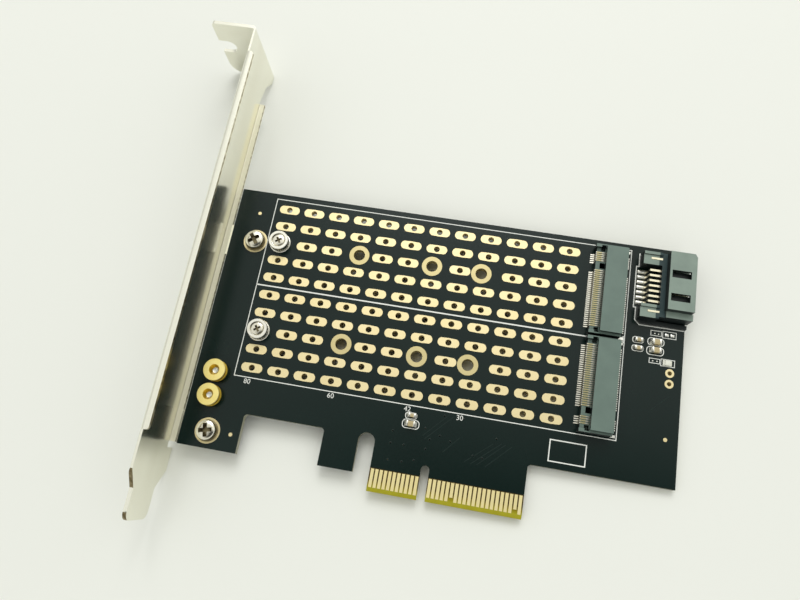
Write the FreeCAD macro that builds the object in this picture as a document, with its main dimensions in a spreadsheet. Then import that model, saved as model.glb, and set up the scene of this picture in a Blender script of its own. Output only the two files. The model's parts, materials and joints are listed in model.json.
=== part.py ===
# NVMe adapter card: a slot card that carries two module sockets and a SATA header.
# Origin: middle of the key notch, at the tip of the edge tongue, on the component face.
# X runs from the bracket to the free end, Y up the board, Z out of the component face.
import FreeCAD
import Part
import Sketcher
import math
import os
import re
from FreeCAD import Placement, Rotation, Vector

# Driving dimensions in millimetres, kept in the document's spreadsheet.
SIZES = {
    # circuit board
    "board_thickness": 1.6,
    "shoulder_height": 11.8,
    "row_margin": 8.82,
    "top_margin": 2.04,
    "key_width": 1.9,
    "key_depth": 7.6,
    "guide_slot_width": 3.8,
    "guide_slot_top": 12.5,
    "guide_tab_width": 8.05,
    "guide_tab_tip": 3.5,
    "foot_width": 13.9,
    "foot_tip": 2.75,
    "notch_radius": 0.8,
    # flat left between the two fillets of a full-round slot end
    "slot_flat": 0.02,
    "bevel_height": 0.9,
    "bevel_depth": 0.45,
    # gold edge contacts and thermal pads
    "plating": 0.05,
    "finger_pitch": 1.0,
    "finger_width": 0.7,
    "finger_length": 4.05,
    "finger_setback": 0.05,
    "short_finger_setback": 0.9,
    "key_to_finger": 1.5,
    "finger_margin": 0.65,
    "pad_length": 5.1,
    "pad_width": 2.2,
    "pad_to_lead": 2.4,
    "pad_shift": 0.37,
    "pad_clearance": 0.03,
    # module positions
    "socket_reach": 35.84,
    "module_long": 80.0,
    "module_medium": 60.0,
    "module_short": 42.0,
    "module_tiny": 30.0,
    "module_hole": 2.9,
    "module_land": 4.9,
    # module sockets
    "contact_pitch": 0.5,
    "contact_width": 0.25,
    "contact_thickness": 0.15,
    "socket_end": 1.7,
    "socket_gap": 0.64,
    "cover_overhang": 1.84,
    "cover_inset": 0.5,
    "socket_back": 3.16,
    "socket_lip": 2.0,
    "arm_overhang": 0.3,
    "arm_width": 0.75,
    "arm_height": 3.0,
    "jaw_height": 2.1,
    "mouth_height": 1.25,
    "mouth_depth": 2.6,
    "roof_thickness": 0.75,
    "key_bar_width": 1.2,
    "front_lead": 1.0,
    "rear_lead": 1.2,
    "anchor_width": 0.6,
    "anchor_height": 0.5,
    # SATA header
    "sata_gap": 2.1,
    "sata_from_top": 10.36,
    "sata_overhang": 0.1,
    "sata_pitch": 1.27,
    "sata_contact_width": 0.5,
    "sata_contact_thickness": 0.2,
    "sata_lead": 4.7,
    "sata_foot": 2.0,
    "sata_rise": 0.45,
    "sata_leg_height": 2.35,
    "sata_base_height": 3.3,
    "sata_block_height": 5.6,
    "sata_back_step": 1.1,
    "sata_block_depth": 6.0,
    "sata_cut_width": 0.5,
    "sata_cut_length": 0.8,
    "sata_arm_clearance": 1.1,
    "sata_arm_width": 3.1,
    "sata_arm_length": 4.3,
    "sata_rib_width": 0.7,
    "sata_rib_height": 0.35,
    "sata_shoulder": 0.42,
    "sata_ledge": 1.5,
    "sata_ledge_height": 3.8,
    "sata_ledge_shift": 0.3,
    "sata_skirt_reach": 0.93,
    "sata_skirt_height": 0.9,
    "sata_skirt_corner": 1.0,
    "sata_wall": 0.85,
    "sata_mouth_depth": 5.5,
    "sata_tongue_setback": 0.6,
    "sata_tongue_margin": 0.55,
    "sata_tongue_key": 2.2,
    "sata_tongue_thickness": 0.9,
    "sata_window_start": 0.55,
    "sata_window_length": 4.3,
    "sata_window_width": 1.8,
    "sata_window_offset": 2.81,
    "sata_window_shift": 0.28,
    "sata_clip_length": 2.6,
    "sata_clip_thickness": 0.45,
    "sata_clip_offset": 1.55,
    "sata_clip_proud": 0.1,
    # chips
    "large_chip_length": 2.0,
    "large_chip_width": 1.25,
    "large_chip_height": 1.25,
    "small_chip_length": 1.6,
    "small_chip_width": 0.85,
    "small_chip_height": 0.8,
    "chip_end_length": 0.4,
    "chip_end_proud": 0.03,
    "chip_gap": 0.68,
    "small_chip_reach": 3.6,
    "large_chip_reach": 7.55,
    "lower_chip_x": -4.85,
    "lower_chip_rise": 4.25,
    "led_length": 2.0,
    "led_width": 1.25,
    "led_base_height": 0.4,
    "led_lens_length": 1.2,
    "led_lens_height": 0.4,
    "led_inset": 3.5,
    "led_drop": 3.4,
    # screws and standoffs
    "screw_to_standoff": 6.31,
    "screw_to_edge": 6.33,
    "screw_from_tip": 3.95,
    "screw_spacing": 47.0,
    "screw_head": 4.9,
    "screw_head_height": 1.9,
    "screw_head_crown": 0.7,
    "screw_shank": 2.9,
    "screw_clearance": 0.15,
    "screw_end": 0.7,
    "recess_reach": 1.35,
    "recess_width": 0.8,
    "recess_depth": 1.0,
    "standoff_height": 2.5,
    "standoff_body": 4.8,
    "standoff_flange": 5.2,
    "standoff_flange_height": 0.5,
    "standoff_seat_depth": 1.1,
    "ssd_screw_head": 3.0,
    "ssd_screw_head_height": 0.9,
    "ssd_screw_shank": 1.6,
    "ssd_screw_clearance": 0.05,
    "ssd_head_clearance": 0.2,
    "ssd_screw_end": 0.2,
    "spare_flange": 5.1,
    "spare_waist": 4.2,
    "spare_flange_height": 0.7,
    "spare_bore": 2.0,
    "spare_inset": 1.23,
    "spare_from_screw": 7.95,
    "spare_gap": 0.65,
    # slot bracket
    "steel": 0.86,
    "bend_radius": 0.3,
    "plate_gap": 2.4,
    "plate_depth": 15.4,
    "plate_step": 0.3,
    "bracket_rise": 51.95,
    "ear_reach": 4.85,
    "ear_height": 3.25,
    "neck_height": 6.5,
    "neck_reach": 1.5,
    "neck_end": 12.3,
    "neck_radius": 2.5,
    "nick_depth": 0.3,
    "lower_flange_depth": 1.3,
    "lower_flange_top": 12.95,
    "lower_flange_end": 3.7,
    "upper_flange_depth": 1.15,
    "upper_flange_top": 7.65,
    "upper_flange_end": 2.4,
    "flange_corner": 0.8,
    "shoulder_start": 5.2,
    "shoulder_reach": 2.7,
    "shoulder_end": 10.45,
    "tail_start": 14.4,
    "tail_end": 21.1,
    "tail_inset": 1.3,
    "tail_width": 10.8,
    "tail_radius": 2.0,
    "mount_tab_reach": 3.4,
    "mount_tab_width": 8.0,
    "mount_tab_radius": 1.5,
    "top_tab_length": 10.94,
    "top_tab_radius": 1.0,
    "top_tab_sweep": 4.0,
    "notch_width": 4.42,
    "notch_depth": 4.3,
    "notch_height": 6.35,
}

# Counts that the two interface standards fix.
LEFT_FINGERS = 11
RIGHT_FINGERS = 21
SHORT_FINGERS_FRONT = (17, 31)
SHORT_FINGERS_BACK = (1,)
SOCKET_POSITIONS = 75
MIDDLE_POSITION = 38
KEY_B = range(12, 20)
KEY_M = range(59, 67)
SATA_CONTACTS = 7
PAD_COLUMNS = 12
PAD_ROWS = 10
PAD_ROWS_PER_SOCKET = 5
PAD_ROW_OF_UPPER_SOCKET = 2
# Small screws and standoffs repeat, so their round sections are drawn with this many flats.
FLATS = 16

# Places that follow from the driving dimensions, each from earlier ones.
PLACES = {
    "tongue_left": f"-(key_to_finger + {LEFT_FINGERS - 1} * finger_pitch + finger_margin)",
    "tongue_right": f"key_to_finger + {RIGHT_FINGERS - 1} * finger_pitch + finger_margin",
    "slot_left": "tongue_left - guide_slot_width",
    "tab_left": "slot_left - guide_tab_width",
    "standoff_x": "socket_reach - module_long",
    "screw_x": "standoff_x - screw_to_standoff",
    "board_left": "screw_x - screw_to_edge",
    "foot_right": "board_left + foot_width",
    "socket_width": f"{SOCKET_POSITIONS - 1} * contact_pitch / 2 + 2 * socket_end",
    "lower_row": "shoulder_height + row_margin + socket_width / 2",
    "upper_row": "lower_row + socket_width + socket_gap",
    "board_top": "upper_row + socket_width / 2 + top_margin",
    "lip_front": "-cover_overhang - socket_lip",
    "arm_front": "lip_front - arm_overhang",
    "mouth_back": "mouth_depth - cover_overhang",
    "socket_height": "jaw_height + mouth_height + roof_thickness",
    "front_lead_x": "socket_reach + lip_front - front_lead",
    "rear_lead_x": "socket_reach + socket_back + rear_lead",
    "sata_back": "rear_lead_x + sata_gap + sata_lead",
    "sata_depth": "sata_back_step + sata_block_depth",
    "sata_span": f"{(SATA_CONTACTS - 1) // 2} * sata_pitch",
    "sata_inner": "sata_span + sata_arm_clearance",
    "sata_half": "sata_inner + sata_arm_width",
    "sata_low": "sata_shoulder - sata_half",
    "sata_skirt": "-sata_half - sata_skirt_reach",
    "sata_y": "board_top - sata_from_top",
    "board_right": "sata_back + sata_depth - sata_overhang",
    "lower_screw": "foot_tip + screw_from_tip",
    "upper_screw": "lower_screw + screw_spacing",
    "standoff_bore": "ssd_screw_shank + 2 * ssd_screw_clearance",
    "standoff_seat": "ssd_screw_head + 2 * ssd_head_clearance",
    "ssd_screw_length": "standoff_height - standoff_seat_depth - ssd_screw_end",
    "spare_x": "screw_x - spare_inset",
    "spare_low": "lower_screw + spare_from_screw",
    "spare_high": "spare_low + spare_flange + spare_gap",
    "plate_x": "board_left - plate_gap",
    "bracket_top": "screw_spacing + bracket_rise",
    "tab_tip": "-steel - top_tab_length",
}

doc = FreeCAD.newDocument("adapter_card")
sheet = doc.addObject("Spreadsheet::Sheet", "Sizes")
for row, (alias, value) in enumerate(SIZES.items(), start=1):
    sheet.set(f"A{row}", alias.replace("_", " "))
    sheet.set(f"B{row}", str(value))
    sheet.setAlias(f"B{row}", alias)
doc.recompute()


def formula(text, local=False):
    """Write sheet aliases and place names in a formula the way the document addresses them."""
    def address(match):
        word = match.group(0)
        if word in SIZES:
            return "Sizes." + word
        if word in PLACES and not local:
            return "Places." + word
        return word
    return re.sub(r"[a-z_]+", address, text)


places = doc.addObject("App::VarSet", "Places")
for place, text in PLACES.items():
    places.addProperty("App::PropertyFloat", place, "Places")
    places.setExpression(place, formula(text, local=True))
doc.recompute()


def size(name):
    """The present value of a driving dimension or of a place."""
    if name in SIZES:
        return float(sheet.get(name))
    return float(getattr(places, name))


# Tools for sketches and features.

def new_body(label, x="0", y="0", z="0"):
    """An empty body that stands at a place given by three formulas."""
    body = doc.addObject("PartDesign::Body", label)
    body.Label = label
    for axis, text in zip("xyz", (x, y, z)):
        body.setExpression(f"Placement.Base.{axis}", formula(text))
    return body


def new_sketch(body, name, role, offset="0"):
    """A sketch on one of the body's origin planes, lifted along the plane's normal."""
    sketch = body.newObject("Sketcher::SketchObject", name)
    plane = [item for item in body.Origin.OriginFeatures if item.Role == role][0]
    sketch.AttachmentSupport = [(plane, "")]
    sketch.MapMode = "FlatFace"
    sketch.setExpression("AttachmentOffset.Base.z", formula(offset))
    return sketch


def fix_point(sketch, geometry, point, start, across, up):
    """Tie one point of the sketch to two formulas."""
    for kind, value, text in (("DistanceX", start.x, across), ("DistanceY", start.y, up)):
        index = sketch.addConstraint(Sketcher.Constraint(kind, geometry, point, value))
        sketch.setExpression(f"Constraints[{index}]", formula(text))


def add_outline(sketch, corners):
    """A closed outline of straight lines, each corner a pair of formulas."""
    count = len(corners)
    first = sketch.GeometryCount
    turn = 2 * math.pi / count
    start = [Vector(math.cos(turn * k), math.sin(turn * k), 0) for k in range(count)]
    for k in range(count):
        sketch.addGeometry(Part.LineSegment(start[k], start[(k + 1) % count]), False)
    for k in range(count):
        following = first + (k + 1) % count
        sketch.addConstraint(Sketcher.Constraint("Coincident", first + k, 2, following, 1))
    for k, (across, up) in enumerate(corners):
        fix_point(sketch, first + k, 1, start[k], across, up)


def add_rectangle(sketch, left, right, low, high):
    """A closed rectangle between four formulas."""
    add_outline(sketch, [(left, low), (right, low), (right, high), (left, high)])


def add_circle(sketch, across, up, diameter):
    """A circle about a point given by two formulas."""
    normal = Vector(0, 0, 1)
    index = sketch.addGeometry(Part.Circle(Vector(1, 1, 0), normal, 1), False)
    fix_point(sketch, index, 3, Vector(1, 1, 0), across, up)
    radius = sketch.addConstraint(Sketcher.Constraint("Radius", index, 1.0))
    sketch.setExpression(f"Constraints[{radius}]", formula(f"({diameter}) / 2"))


def add_ring(sketch, across, up, diameter):
    """A small round section drawn with flats, about a point given by two formulas."""
    turn = 2 * math.pi / FLATS
    corners = []
    for k in range(FLATS):
        spoke = f"({diameter}) / 2"
        corners.append((f"{across} + {spoke} * {math.cos(turn * k):.6f}",
                        f"{up} + {spoke} * {math.sin(turn * k):.6f}"))
    add_outline(sketch, corners)


def pad(body, sketch, length, reverse=False, both=False):
    """Extrude a sketch into material."""
    feature = body.newObject("PartDesign::Pad", sketch.Name + "_pad")
    feature.Profile = sketch
    feature.setExpression("Length", formula(length))
    feature.Reversed = reverse
    feature.SideType = "Symmetric" if both else "One side"
    doc.recompute()
    return feature


def pocket(body, sketch, length=None, reverse=False, both=False):
    """Cut a sketch out of the body, to a depth or right through."""
    before = body.Shape.Volume
    feature = body.newObject("PartDesign::Pocket", sketch.Name + "_cut")
    feature.Profile = sketch
    feature.Reversed = reverse
    feature.SideType = "Symmetric" if both else "One side"
    if length is None:
        feature.Type = "ThroughAll"
    else:
        feature.setExpression("Length", formula(length))
    doc.recompute()
    if body.Shape.Volume >= before:
        raise RuntimeError(f"{feature.Label} cuts nothing")
    return feature


def stack(body, steps):
    """Round steps on one upright axis, each a diameter with its lower and upper level."""
    for number, (diameter, low, high) in enumerate(steps, start=1):
        sketch = new_sketch(body, f"{body.Label}_step_{number}", "XY_Plane", low)
        add_ring(sketch, "0", "0", diameter)
        top = pad(body, sketch, f"({high}) - ({low})")
    return top


def bore(body, name, diameter, top, depth=None):
    """A round hole on the body's upright axis, from a level downwards."""
    sketch = new_sketch(body, f"{body.Label}_{name}", "XY_Plane", top)
    add_ring(sketch, "0", "0", diameter)
    return pocket(body, sketch, depth)


def edges_along(feature, axis, spots):
    """Names of the straight edges along one axis that stand at the given cross places."""
    across = [k for k in range(3) if k != axis]
    found = []
    for number, edge in enumerate(feature.Shape.Edges, start=1):
        if not isinstance(edge.Curve, Part.Line) or abs(edge.Curve.Direction[axis]) < 0.999:
            continue
        middle = edge.CenterOfMass
        here = [middle[k] for k in across]
        if any(math.dist(here, spot) < 0.001 for spot in spots):
            found.append(f"Edge{number}")
    return found


def rim_edges(feature, level):
    """Names of the edges that lie flat at one level."""
    return [f"Edge{number}" for number, edge in enumerate(feature.Shape.Edges, start=1)
            if all(abs(vertex.Z - level) < 0.001 for vertex in edge.Vertexes)]


def round_edges(body, name, base, edges, radius):
    """Fillet the named edges of a feature."""
    feature = body.newObject("PartDesign::Fillet", name)
    feature.Base = (base, edges)
    feature.setExpression("Radius", formula(radius))
    doc.recompute()
    return feature


def box(low, high):
    """A solid box between two corners."""
    span = [b - a for a, b in zip(low, high)]
    return Part.makeBox(*span, Vector(*low))


def prism(corners, along):
    """A solid made by moving a closed outline along a vector."""
    wire = Part.makePolygon(corners + corners[:1])
    return Part.Face(wire).extrude(along)


def solids_node(label, solids, base):
    """A piece, or a group of like pieces, whose repeats no pattern feature describes."""
    node = doc.addObject("Part::Feature", label)
    node.Label = label
    node.Shape = Part.makeCompound(solids)
    node.Placement = Placement(Vector(*base), Rotation())
    return node


# Circuit board: routed laminate with a keyed tongue, a guide tab and a foot by the bracket.

def make_board():
    body = new_body("circuit_board")
    outline = new_sketch(body, "board_outline", "XY_Plane")
    add_outline(outline, [
        ("board_left", "foot_tip"),
        ("foot_right", "foot_tip"),
        ("foot_right", "shoulder_height"),
        ("tab_left", "shoulder_height"),
        ("tab_left", "guide_tab_tip"),
        ("slot_left", "guide_tab_tip"),
        ("slot_left", "guide_slot_top"),
        ("tongue_left", "guide_slot_top"),
        ("tongue_left", "0"),
        ("-key_width / 2", "0"),
        ("-key_width / 2", "key_depth"),
        ("key_width / 2", "key_depth"),
        ("key_width / 2", "0"),
        ("tongue_right", "0"),
        ("tongue_right", "shoulder_height"),
        ("board_right", "shoulder_height"),
        ("board_right", "board_top"),
        ("board_left", "board_top"),
    ])
    slab = pad(body, outline, "board_thickness", reverse=True)

    shoulder = size("shoulder_height")
    inner = [(size(x), shoulder) for x in ("foot_right", "tab_left", "tongue_right")]
    routed = round_edges(body, "notch_corners", slab, edges_along(slab, 2, inner), "notch_radius")
    slot = [(size(x), size("guide_slot_top")) for x in ("slot_left", "tongue_left")]
    routed = round_edges(body, "guide_slot_end", routed, edges_along(routed, 2, slot),
                         "guide_slot_width / 2 - slot_flat")
    key = [(side * size("key_width") / 2, size("key_depth")) for side in (-1, 1)]
    round_edges(body, "key_end", routed, edges_along(routed, 2, key), "key_width / 2 - slot_flat")

    bevel = new_sketch(body, "tip_bevel", "YZ_Plane")
    add_outline(bevel, [("0", "0"), ("bevel_height", "0"), ("0", "-bevel_depth")])
    under = "-board_thickness"
    add_outline(bevel, [("0", under), ("0", f"{under} + bevel_depth"), ("bevel_height", under)])
    pocket(body, bevel, both=True)

    holes = new_sketch(body, "board_holes", "XY_Plane")
    for line in ("lower_row", "upper_row"):
        for module in ("module_medium", "module_short", "module_tiny"):
            add_circle(holes, f"socket_reach - {module}", line, "module_hole")
    for line in ("lower_screw", "upper_screw"):
        add_ring(holes, "screw_x", line, "screw_shank + 2 * screw_clearance")
    for line in ("spare_low", "spare_high"):
        add_ring(holes, "spare_x", line, "spare_bore")
    pocket(body, holes)
    return body


# Gold contacts of the edge tongue, each a thin plated strip on one face of the board.

def make_fingers(label, low, short_ones):
    pitch = size("finger_pitch")
    half = size("finger_width") / 2
    start = size("bevel_height") + size("finger_setback")
    end = start + size("finger_length")
    fingers = []
    for number in range(1, LEFT_FINGERS + RIGHT_FINGERS + 1):
        if number <= LEFT_FINGERS:
            x = -size("key_to_finger") - (LEFT_FINGERS - number) * pitch
        else:
            x = size("key_to_finger") + (number - LEFT_FINGERS - 1) * pitch
        first = start + size("short_finger_setback") if number in short_ones else start
        fingers.append(box((x - half, first, 0), (x + half, end, size("plating"))))
    return solids_node(label, fingers, (0, 0, low))


# Thermal pads: a field of plated stadium pads that leaves room for the module standoffs.

def make_pads():
    half_length = size("pad_length") / 2
    half_width = size("pad_width") / 2
    bend = half_width * math.tan(math.pi / 8)
    corners = [
        Vector(half_length - half_width + bend, half_width, 0),
        Vector(half_length, bend, 0),
    ]
    corners += [Vector(p.x, -p.y, 0) for p in reversed(corners)]
    corners += [Vector(-p.x, p.y, 0) for p in reversed(corners)]
    shape = prism(corners, Vector(0, 0, size("plating")))

    first = size("standoff_x") + size("pad_shift")
    last = size("front_lead_x") - size("pad_to_lead") - half_length
    column_pitch = (last - first) / (PAD_COLUMNS - 1)
    row_pitch = (size("upper_row") - size("lower_row")) / PAD_ROWS_PER_SOCKET
    top = size("upper_row") + PAD_ROW_OF_UPPER_SOCKET * row_pitch

    modules = ("module_long", "module_medium", "module_short", "module_tiny")
    lands = [(size("socket_reach") - size(module), size(line))
             for module in modules for line in ("lower_row", "upper_row")]
    keep_out = max(size("module_land"), size("standoff_flange")) / 2 + size("pad_clearance")
    pads = []
    for row in range(PAD_ROWS):
        for column in range(PAD_COLUMNS):
            x = first + column * column_pitch
            y = top - row * row_pitch
            blocked = any(abs(x - land_x) < half_length + keep_out
                          and abs(y - land_y) < half_width + keep_out
                          for land_x, land_y in lands)
            if not blocked:
                pads.append(shape.translated(Vector(x, y, 0)))
    return solids_node("thermal_pads", pads, (0, 0, 0))


# Slot bracket: one folded steel strip. Its own frame starts at the plate's inner face,
# at the lower screw and at the underside of the board.

def make_bracket():
    body = new_body("slot_bracket", "plate_x", "lower_screw", "-board_thickness")
    top = "bracket_top"
    high = "plate_depth - plate_step"
    flange_high = f"{top} - upper_flange_top"
    flange_low = f"{top} - lower_flange_top"
    outline = new_sketch(body, "plate_outline", "YZ_Plane")
    add_outline(outline, [
        (top, high),
        (top, "-ear_reach"),
        (f"{top} - ear_height", "-ear_reach"),
        (f"{top} - neck_height", "-neck_reach"),
        (f"{top} - neck_end", "nick_depth"),
        (flange_low, "nick_depth"),
        (flange_low, "-steel"),
        ("-lower_flange_end", "-steel"),
        ("-lower_flange_end", "nick_depth"),
        ("-shoulder_start", "nick_depth"),
        ("-shoulder_start", "-shoulder_reach"),
        ("-shoulder_end", "-shoulder_reach"),
        ("-tail_start", "tail_inset"),
        ("-tail_end", "tail_inset"),
        ("-tail_end", "tail_inset + tail_width"),
        ("-tail_start", "tail_inset + tail_width"),
        ("-shoulder_end", high),
        ("-upper_flange_end", high),
        ("-upper_flange_end", "plate_depth"),
        (flange_high, "plate_depth"),
        (flange_high, high),
    ])
    pad(body, outline, "steel", reverse=True)

    upper = new_sketch(body, "upper_flange", "YZ_Plane")
    add_rectangle(upper, "-upper_flange_end", flange_high, "plate_depth - steel", "plate_depth")
    pad(body, upper, "upper_flange_depth")
    lower = new_sketch(body, "lower_flange", "YZ_Plane")
    add_rectangle(lower, "-lower_flange_end", flange_low, "-steel", "0")
    pad(body, lower, "lower_flange_depth")

    reach = "screw_x - plate_x + mount_tab_reach"
    tabs = new_sketch(body, "mount_tabs", "XY_Plane")
    for line in ("0", "screw_spacing"):
        low = f"max({line} - mount_tab_width / 2; -lower_flange_end)"
        add_rectangle(tabs, "0", reach, low, f"{line} + mount_tab_width / 2")
    pad(body, tabs, "steel", reverse=True)

    tab = new_sketch(body, "top_tab", "XZ_Plane", f"-({top})")
    notch_end = "tab_tip + notch_depth"
    add_outline(tab, [
        ("0", "-ear_reach"),
        ("0", high),
        ("tab_tip", high),
        ("tab_tip", "notch_height + notch_width / 2"),
        (notch_end, "notch_height + notch_width / 2"),
        (notch_end, "notch_height - notch_width / 2"),
        ("tab_tip", "notch_height - notch_width / 2"),
        ("tab_tip", "-ear_reach"),
    ])
    solid = pad(body, tab, "steel")

    steel = size("steel")
    depth = size("plate_depth")
    crest = size("bracket_top")
    outer = [(-steel, depth), (-steel, -steel)]
    inner = [(0, depth - steel), (0, 0)]
    solid = round_edges(body, "side_bends", solid, edges_along(solid, 1, outer), "bend_radius + steel")
    solid = round_edges(body, "side_folds", solid, edges_along(solid, 1, inner), "bend_radius")
    solid = round_edges(body, "top_bend", solid, edges_along(solid, 2, [(0, crest)]), "bend_radius + steel")
    fold = [(-steel, crest - steel)]
    solid = round_edges(body, "top_fold", solid, edges_along(solid, 2, fold), "bend_radius")

    tip = size("tab_tip")
    middle = size("notch_height")
    half = size("notch_width") / 2
    notch = [(tip + size("notch_depth"), middle + side * half) for side in (-1, 1)]
    solid = round_edges(body, "notch_end", solid, edges_along(solid, 1, notch),
                        "notch_width / 2 - slot_flat")
    corner = [(tip, depth - size("plate_step"))]
    solid = round_edges(body, "tab_corner", solid, edges_along(solid, 1, corner), "top_tab_radius")
    swept = [(tip, -size("ear_reach"))]
    solid = round_edges(body, "tab_sweep", solid, edges_along(solid, 1, swept), "top_tab_sweep")

    tail = [(-size("tail_end"), size("tail_inset") + side * size("tail_width")) for side in (0, 1)]
    solid = round_edges(body, "tail_corners", solid, edges_along(solid, 0, tail), "tail_radius")
    neck = [(crest - size("neck_height"), -size("neck_reach"))]
    solid = round_edges(body, "neck_curve", solid, edges_along(solid, 0, neck), "neck_radius")
    reach = size("screw_x") - size("plate_x") + size("mount_tab_reach")
    half = size("mount_tab_width") / 2
    lowest = max(-half, -size("lower_flange_end"))
    spacing = size("screw_spacing")
    tips = [(reach, y) for y in (lowest, half, spacing - half, spacing + half)]
    solid = round_edges(body, "mount_tab_corners", solid, edges_along(solid, 2, tips), "mount_tab_radius")
    flange = size("upper_flange_depth")
    ends = [(flange, -size("upper_flange_end")), (flange, crest - size("upper_flange_top"))]
    round_edges(body, "flange_corners", solid, edges_along(solid, 2, ends), "flange_corner")

    holes = new_sketch(body, "mount_holes", "XY_Plane")
    for line in ("0", "screw_spacing"):
        add_ring(holes, "screw_x - plate_x", line, "screw_shank")
    pocket(body, holes)
    return body


# Bracket screw: pan head with a cross recess, through the board into a tapped tab.

def make_bracket_screw(label, line):
    body = new_body(label, "screw_x", line)
    head = stack(body, [
        ("screw_shank", "-(board_thickness + steel + screw_end)", "0"),
        ("screw_head", "0", "screw_head_height"),
    ])
    crown = body.newObject("PartDesign::Chamfer", label + "_crown")
    crown.Base = (head, rim_edges(head, size("screw_head_height")))
    crown.setExpression("Size", formula("screw_head_crown"))
    doc.recompute()
    recess = new_sketch(body, label + "_recess", "XY_Plane", "screw_head_height")
    far, near = "recess_reach", "recess_width / 2"
    add_outline(recess, [
        (far, near), (near, near), (near, far), (f"-{near}", far), (f"-{near}", near), (f"-{far}", near),
        (f"-{far}", f"-{near}"), (f"-{near}", f"-{near}"), (f"-{near}", f"-{far}"), (near, f"-{far}"),
        (near, f"-{near}"), (far, f"-{near}"),
    ])
    pocket(body, recess, "recess_depth")
    return body


# Module standoff: knurled nut on the board with a sunk seat for the small screw's head.

def make_standoff(label, line):
    body = new_body(label, "standoff_x", line)
    stack(body, [
        ("standoff_flange", "0", "standoff_flange_height"),
        ("standoff_body", "standoff_flange_height", "standoff_height"),
    ])
    bore(body, "seat", "standoff_seat", "standoff_height", "standoff_seat_depth")
    bore(body, "bore", "standoff_bore", "standoff_height")
    return body


# Module screw: flat head that rests on the standoff's seat.

def make_ssd_screw(label, line):
    body = new_body(label, "standoff_x", line, "standoff_height - standoff_seat_depth")
    stack(body, [
        ("ssd_screw_shank", "-ssd_screw_length", "0"),
        ("ssd_screw_head", "0", "ssd_screw_head_height"),
    ])
    return body


# Spare standoff: brass spool whose bore goes right through the board.

def make_spare(label, line):
    body = new_body(label, "spare_x", line)
    waist_top = "standoff_height - spare_flange_height"
    stack(body, [
        ("spare_flange", "0", "spare_flange_height"),
        ("spare_waist", "spare_flange_height", waist_top),
        ("spare_flange", waist_top, "standoff_height"),
    ])
    bore(body, "bore", "spare_bore", "standoff_height")
    return body


# Module socket: moulded housing with a mouth towards the bracket, two end arms and a key bar.
# Its own frame starts at the module's edge, on the socket's middle line.

def position(pin):
    """Place of a contact across the socket."""
    return (MIDDLE_POSITION - pin) * size("contact_pitch") / 2


def make_socket(name, line, key):
    body = new_body(name + "_housing", "socket_reach", line)
    profile = new_sketch(body, name + "_profile", "XZ_Plane")
    add_outline(profile, [
        ("lip_front", "0"),
        ("socket_back", "0"),
        ("socket_back", "socket_height"),
        ("-cover_overhang", "socket_height"),
        ("-cover_overhang", "jaw_height + mouth_height"),
        ("mouth_back", "jaw_height + mouth_height"),
        ("mouth_back", "jaw_height"),
        ("lip_front", "jaw_height"),
    ])
    pad(body, profile, "socket_width - 2 * cover_inset", both=True)
    arms = new_sketch(body, name + "_arms", "XY_Plane")
    outer = "socket_width / 2"
    inner = f"{outer} - arm_width"
    add_rectangle(arms, "arm_front", "socket_back", inner, outer)
    add_rectangle(arms, "arm_front", "socket_back", f"-({outer})", f"-({inner})")
    pad(body, arms, "arm_height")
    bar = new_sketch(body, name + "_key_bar", "XY_Plane")
    middle = f"({MIDDLE_POSITION - (key[0] + key[-1]) / 2}) * contact_pitch / 2"
    add_rectangle(bar, "-cover_overhang", "mouth_back",
                  f"{middle} - key_bar_width / 2", f"{middle} + key_bar_width / 2")
    pad(body, bar, "jaw_height + mouth_height")

    width = size("contact_width")
    thick = size("contact_thickness")
    lip = size("lip_front")
    jaw = size("jaw_height")
    tip = lip - size("front_lead")
    inside = size("mouth_back")
    stepped = [(tip, 0), (lip, 0), (lip, jaw), (inside, jaw), (inside, jaw + thick),
               (lip - thick, jaw + thick), (lip - thick, thick)]
    corners = [Vector(x, -width / 2, z) for x, z in stepped]
    strip = prism(corners, Vector(0, width, 0))
    back = size("socket_back")
    lead = box((back, -width / 2, 0), (back + size("rear_lead"), width / 2, thick))
    base = (size("socket_reach"), size(line), 0)
    pins = [pin for pin in range(1, SOCKET_POSITIONS + 1) if pin not in key]
    front = [strip.translated(Vector(0, position(pin), 0)) for pin in pins if pin % 2 == 0]
    rear = [lead.translated(Vector(0, position(pin), 0)) for pin in pins if pin % 2]
    edge = size("socket_width") / 2
    anchors = []
    for low in (-edge, edge - size("anchor_width")):
        far = (back + size("rear_lead"), low + size("anchor_width"), size("anchor_height"))
        anchors.append(box((back, low, 0), far))
    return [
        body,
        solids_node(name + "_front_contacts", front, base),
        solids_node(name + "_rear_contacts", rear, base),
        solids_node(name + "_anchors", anchors, base),
    ]


# SATA header: right-angle housing that opens over the board's end edge, with two end arms,
# an L-shaped tongue and two latch windows. Its own frame starts at the housing's rear face.

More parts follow.
